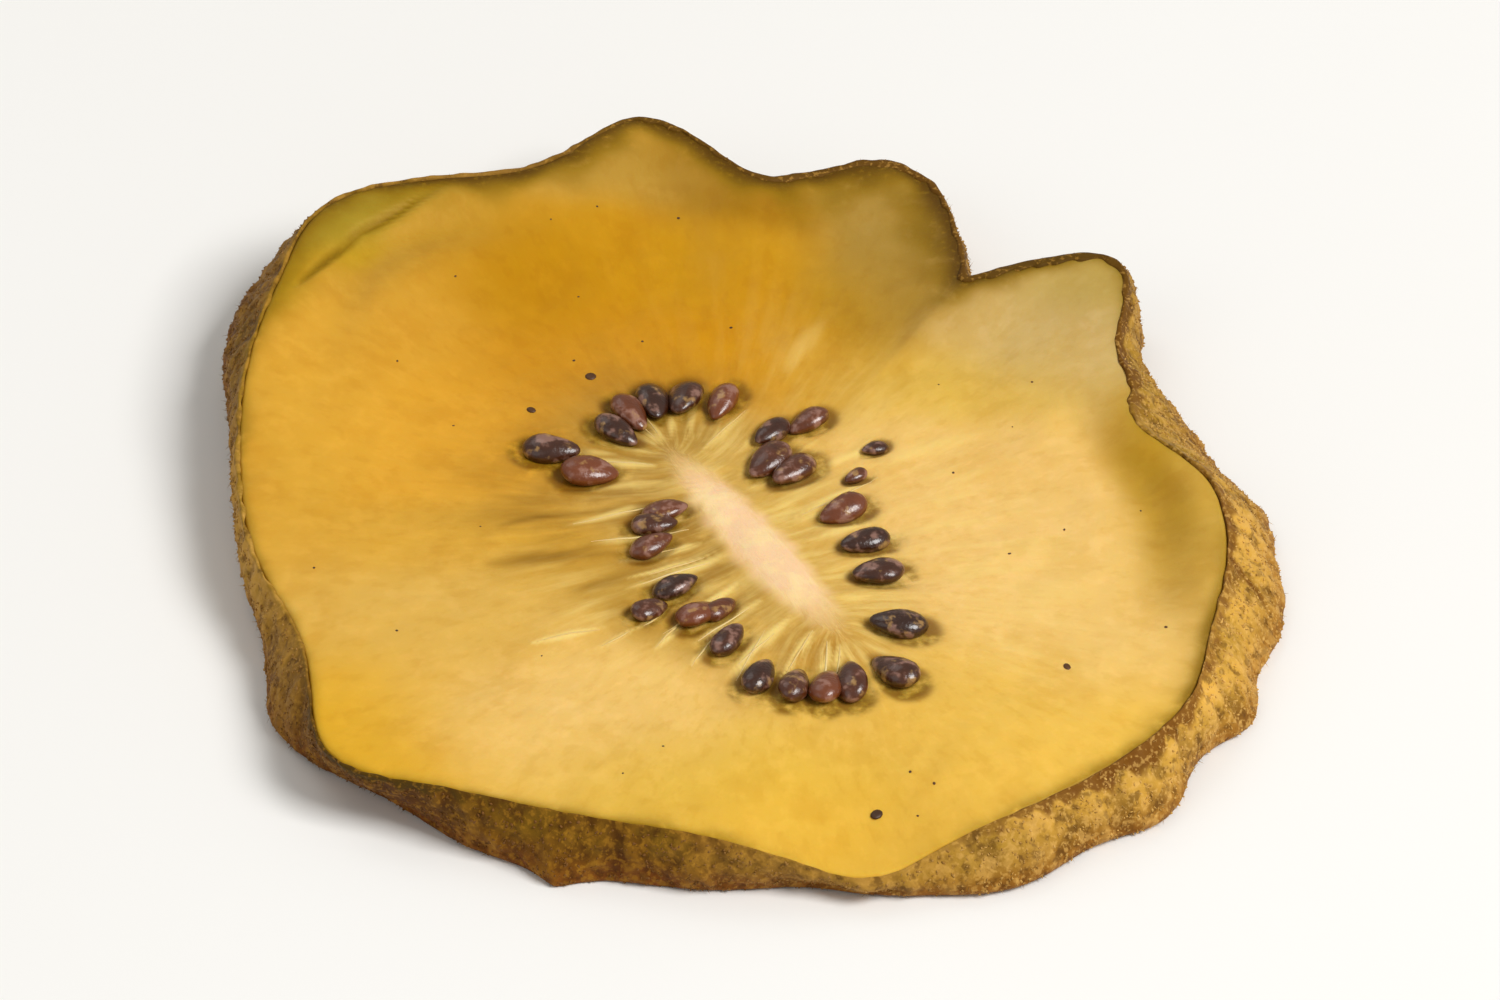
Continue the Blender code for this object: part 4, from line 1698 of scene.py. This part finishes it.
@dataclass
class Septa:
    """Fine pale fibres along the septa between the seeds, and along the long pale streaks."""

    form: SliceForm
    flesh: Flesh
    ring: SeedRing
    name: str = "septa"
    points_each: int = 25
    sides: int = 8
    # Radius of a fibre, how deep it is sunk, how far it strays from its septum, and how much it bends.
    radius: Pair = (0.03, 0.05)
    sink: float = 0.3
    stray: float = 0.09
    bend: float = 0.06
    # Where on its septum a fibre starts and ends, how thin its ends are, and how soon it has its full width.
    starts: Pair = (0.0, 0.3)
    ends: Pair = (0.7, 1.0)
    thinnest: float = 0.3
    slimness: float = 0.7
    tones: Pair = (0.2, 1.0)
    # A septum that is less pale has no fibre.
    palest: float = 0.62
    draw: int = 29

    def build(self) -> Piece:
        """Lays the fibres' middle lines on the flesh.

        Returns:
            The piece, as lines so far.
        """
        draw = Random(self.draw)
        points, edges, thick, tones = [], [], [], []
        for face, streak in self.ring.septa:
            if streak.strength <= self.palest:
                continue
            radius = draw.uniform(*self.radius)
            tone = draw.uniform(*self.tones)
            start = np.array(streak.start) + [draw.uniform(-self.stray, self.stray) for _ in range(2)]
            end = np.array(streak.end) + [draw.uniform(-2.0 * self.stray, 2.0 * self.stray) for _ in range(2)]
            first, last = draw.uniform(*self.starts), draw.uniform(*self.ends)
            aside = np.array([start[1] - end[1], end[0] - start[0]]) / np.linalg.norm(end - start)
            bend = draw.uniform(-self.bend, self.bend)
            for step in range(self.points_each):
                part = step / (self.points_each - 1)
                here = first + (last - first) * part
                place = start + here * (end - start) + bend * math.sin(math.pi * part) * aside
                width = radius * max(self.thinnest, math.sin(math.pi * part) ** self.slimness)
                height = float(self.form.face_height(place, face))
                if face is Face.TOP:
                    height += float(self.flesh.relief(place)) - self.sink * width
                else:
                    height += self.flesh.under_clear + self.sink * width
                if step:
                    edges.append((len(points) - 1, len(points)))
                points.append(self.form.world(place, np.array(height)))
                thick.append(width * MM)
                tones.append(tone)
        return new_piece(self.name, np.array(points), {"thick": thick, "tone": tones}, edges=edges)

    def dress(self, piece: Piece) -> None:
        """Gives every line its thickness, which fades out at both ends.

        Args:
            piece: the lines, which the fibres take the place of.
        """
        sizes = {"Sides": self.sides}
        tree, given = new_tree("fibres_on_lines", sizes)
        curve = add_node(tree, "GeometryNodeMeshToCurve", {"Mesh": given["Geometry"]})
        ends = {"Resolution": given["Sides"], "Radius": 1.0}
        profile = add_node(tree, "GeometryNodeCurvePrimitiveCircle", ends)
        thick = add_node(tree, "GeometryNodeInputNamedAttribute", {"Name": "thick"}, data_type="FLOAT")
        ends = {"Curve": curve, "Profile Curve": profile, "Scale": thick, "Fill Caps": True}
        tube = add_node(tree, "GeometryNodeCurveToMesh", ends)
        run_tree(piece, tree, tube, FIBRE_FINISH, sizes)


@dataclass
class Flecks:
    """Small dark pores in the upper face: the plain ones, and fine dust of them."""

    form: SliceForm
    flesh: Flesh
    name: str = "flecks"
    # Plan place and diameter of those that show from afar.
    plain: tuple[Triple, ...] = (
        (-5.5, 6.6, 0.42),
        (-7.6, 4.6, 0.38),
        (4.6, 2.9, 0.42),
        (11.3, -9.5, 0.4),
        (4.6, -16.45, 0.55),
        (6.6, -15.4, 0.16),
    )
    dust: int = 26
    dust_size: Pair = (0.07, 0.14)
    # The part of the face's area inside each speck of dust.
    dust_area: Pair = (0.2, 0.85)
    # Width and thickness as parts of the diameter, and how far a fleck is turned, in radians.
    widths: Pair = (0.6, 1.0)
    thickness: float = 0.3
    turns: Pair = (0.0, 3.0)
    segments: int = 10
    rings: int = 6
    draw: int = 23

    def build(self) -> Piece:
        """Finds the flecks' places.

        Returns:
            The piece, as points so far.
        """
        draw = Random(self.draw)
        spots = list(self.plain)
        for _ in range(self.dust):
            bearing = np.array(draw.uniform(0.0, 360.0))
            part = math.sqrt(draw.uniform(*self.dust_area))
            x, y = in_plan(bearing, part * self.form.edge_reach(bearing))
            spots.append((x, y, draw.uniform(*self.dust_size)))
        place = np.array([spot[:2] for spot in spots])
        height = self.form.face_height(place, Face.TOP) + self.flesh.relief(place)
        sizes = [(wide, wide * draw.uniform(*self.widths), self.thickness * wide) for _, _, wide in spots]
        values = {"size": np.array(sizes) * MM}
        values["turn"] = [(0.0, 0.0, draw.uniform(*self.turns)) for _ in spots]
        values["tone"] = [draw.random() for _ in spots]
        return new_piece(self.name, self.form.world(place, height), values)

    def dress(self, piece: Piece) -> None:
        """Gives every point its flat fleck.

        Args:
            piece: the points, which the flecks take the place of.
        """
        sizes = {"Segments": self.segments}
        tree, given = new_tree("flecks_on_points", sizes)
        ends = {"Segments": given["Segments"], "Rings": self.rings, "Radius": 0.5}
        ball = add_node(tree, "GeometryNodeMeshUVSphere", ends)
        run_tree(piece, tree, on_points(tree, given["Geometry"], ball), PORE_FINISH, sizes)


@dataclass
class Scurf:
    """What the peel carries: blunt granules or short hairs, scattered over its outer face."""

    peel: Piece
    finish: Finish
    name: str
    hairs: bool
    # How many there are on a square millimetre, their size, and how far they lean, in radians.
    crowd: float
    small: Triple
    large: Triple
    lean: float
    draw: int
    # Nothing of it comes lower than this.
    lowest: float = 0.01

    def build(self) -> Piece:
        """Copies the peel for the scatter to read.

        Returns:
            The piece, as a copy of the peel so far.
        """
        piece = bpy.data.objects.new(self.name, self.peel.data.copy())
        piece.data.materials.clear()
        bpy.context.scene.collection.objects.link(piece)
        return piece

    def dress(self, piece: Piece) -> None:
        """Scatters the granules or hairs in place of the copy.

        Args:
            piece: the copy of the peel.
        """
        sizes = {
            "Crowd": self.crowd / MM**2,
            "Smallest": tuple(value * MM for value in self.small),
            "Largest": tuple(value * MM for value in self.large),
            "Lean": self.lean,
            "Draw": self.draw,
        }
        tree, given = new_tree(f"{self.name}_on_peel", sizes)
        outer = add_node(tree, "GeometryNodeInputNamedAttribute", {"Name": "outer"}, data_type="FLOAT")
        crowd = add_node(tree, "ShaderNodeMath", {0: outer, 1: given["Crowd"]}, operation="MULTIPLY")
        ends = {"Mesh": given["Geometry"], "Density": crowd, "Seed": given["Draw"]}
        points = add_node(tree, "GeometryNodeDistributePointsOnFaces", ends, "Points")
        if self.hairs:
            ends = {"Vertices": 3, "Side Segments": 1, "Radius Top": 0.0, "Radius Bottom": 1.0, "Depth": 1.0}
            shape = add_node(tree, "GeometryNodeMeshCone", ends, "Mesh", fill_type="NGON")
        else:
            shape = add_node(tree, "GeometryNodeMeshIcoSphere", {"Radius": 1.0, "Subdivisions": 1}, "Mesh")
        lean = add_node(tree, "ShaderNodeCombineXYZ", {axis: given["Lean"] for axis in range(3)})
        back = add_node(tree, "ShaderNodeVectorMath", {0: lean, "Scale": -1.0}, operation="SCALE")
        ends = {0: back, 1: lean, 8: given["Draw"]}
        tilt = add_node(tree, "FunctionNodeRandomValue", ends, data_type="FLOAT_VECTOR")
        ends = {0: points.node.outputs["Rotation"], 1: tilt}
        rotation = add_node(tree, "FunctionNodeRotateRotation", ends, rotation_space="LOCAL")
        ends = {0: given["Smallest"], 1: given["Largest"], 8: self.draw + 1}
        size = add_node(tree, "FunctionNodeRandomValue", ends, data_type="FLOAT_VECTOR")
        ends = {"Points": points, "Instance": shape, "Rotation": rotation, "Scale": size}
        placed = add_node(tree, "GeometryNodeInstanceOnPoints", ends)
        ends = {2: 0.0, 3: 1.0, 8: self.draw + 2}
        tone = add_node(tree, "FunctionNodeRandomValue", ends, 1, data_type="FLOAT")
        ends = {"Geometry": placed, "Name": "tone", "Value": tone}
        kind = "GeometryNodeStoreNamedAttribute"
        toned = add_node(tree, kind, ends, data_type="FLOAT", domain="INSTANCE")
        real = add_node(tree, "GeometryNodeRealizeInstances", {"Geometry": toned})
        spot = add_node(tree, "GeometryNodeInputPosition", {})
        apart = add_node(tree, "ShaderNodeSeparateXYZ", {0: spot}).node.outputs
        over = add_node(tree, "ShaderNodeMath", {0: apart["Z"], 1: self.lowest * MM}, operation="MAXIMUM")
        held = add_node(tree, "ShaderNodeCombineXYZ", {0: apart["X"], 1: apart["Y"], 2: over})
        kept = add_node(tree, "GeometryNodeSetPosition", {"Geometry": real, "Position": held})
        run_tree(piece, tree, kept, self.finish, sizes)


@dataclass
class Studio:
    """A pale floor, soft light and the camera."""

    target: Triple = (0.0, 0.0, 0.0018)
    distance: float = 0.65
    elevation: float = 40.0
    lens: float = 440.0
    clip: Pair = (0.01, 10.0)
    floor_half: float = 1.5
    floor_height: float = -0.00002
    # Name, place from the slice, power in watts, and width.
    lamps: tuple[tuple[str, Triple, float, float], ...] = (
        ("key", (0.42, -0.22, 0.55), 4.6, 0.32),
        ("fill", (-0.5, -0.35, 0.45), 0.5, 0.5),
        ("back", (-0.3, 0.4, 0.6), 0.55, 0.4),
    )
    sky: float = 0.34
    sky_colour: str = "#FFFDF8"

    def build(self) -> None:
        """Makes the floor, the lamps, the sky and the camera."""
        half, low = self.floor_half, self.floor_height
        corners = np.array([(-half, -half, low), (half, -half, low), (half, half, low), (-half, half, low)])
        floor = new_piece("floor", corners, {}, [(0, 1, 2, 3)])
        floor.data.materials.append(PAPER_FINISH.material())
        for name, place, power, width in self.lamps:
            data = bpy.data.lights.new(name, "AREA")
            data.energy = power
            data.size = width
            self.put(data, place, (-Vector(place)).to_track_quat("-Z", "Y").to_euler())
        world = bpy.data.worlds.new("sky")
        world.use_nodes = True
        background = world.node_tree.nodes["Background"]
        set_inputs(world.node_tree, background, {"Color": linear(self.sky_colour), "Strength": self.sky})
        scene = bpy.context.scene
        scene.world = world
        scene.view_settings.view_transform = "Standard"
        rise = math.radians(self.elevation)
        data = bpy.data.cameras.new("camera")
        data.lens = self.lens
        data.clip_start, data.clip_end = self.clip
        away = Vector((0.0, -math.cos(rise), math.sin(rise))) * self.distance
        scene.camera = self.put(data, Vector(self.target) + away, Euler((math.pi / 2.0 - rise, 0.0, 0.0)))

    def put(self, data: bpy.types.ID, place: Vector | Triple, turn: Euler) -> Piece:
        """Sets a lamp or the camera at its place.

        Args:
            data: the lamp or camera.
            place: where it stands.
            turn: how it is turned.

        Returns:
            Its object.
        """
        thing = bpy.data.objects.new(data.name, data)
        thing.location = place
        thing.rotation_euler = turn
        bpy.context.scene.collection.objects.link(thing)
        return thing


def mount(piece: Piece) -> None:
    """Fixes a finished piece to the part, in place of its plain solid.

    Args:
        piece: the piece.
    """
    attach(piece, BODY)
    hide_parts(NODE)
    log.info("%s: %d faces", piece.name, len(piece.data.polygons))


def main() -> None:
    """Builds the slice piece by piece, and the studio round it."""
    logging.basicConfig(level=logging.INFO, format="%(message)s")
    form = SliceForm()
    ring = SeedRing(form)
    flesh = Flesh(form, ring)
    peel = Peel(form)
    made = {}
    for part in (flesh, peel, Seeds(form, ring), Septa(form, flesh, ring), Flecks(form, flesh)):
        made[part.name] = part.build()
        part.dress(made[part.name])
    skin = made[peel.name]
    grain_sizes = ((0.03, 0.03, 0.015), (0.1, 0.08, 0.04))
    hair_sizes = ((0.01, 0.01, 0.1), (0.016, 0.016, 0.3))
    for part in (
        Scurf(skin, SCURF_FINISH, "granules", False, 12.0, *grain_sizes, lean=3.14, draw=5),
        Scurf(skin, DOWN_FINISH, "down", True, 5.0, *hair_sizes, lean=1.3, draw=11),
    ):
        made[part.name] = part.build()
        part.dress(made[part.name])
    for piece in made.values():
        mount(piece)
    Studio().build()


if __name__ == "__main__":
    main()
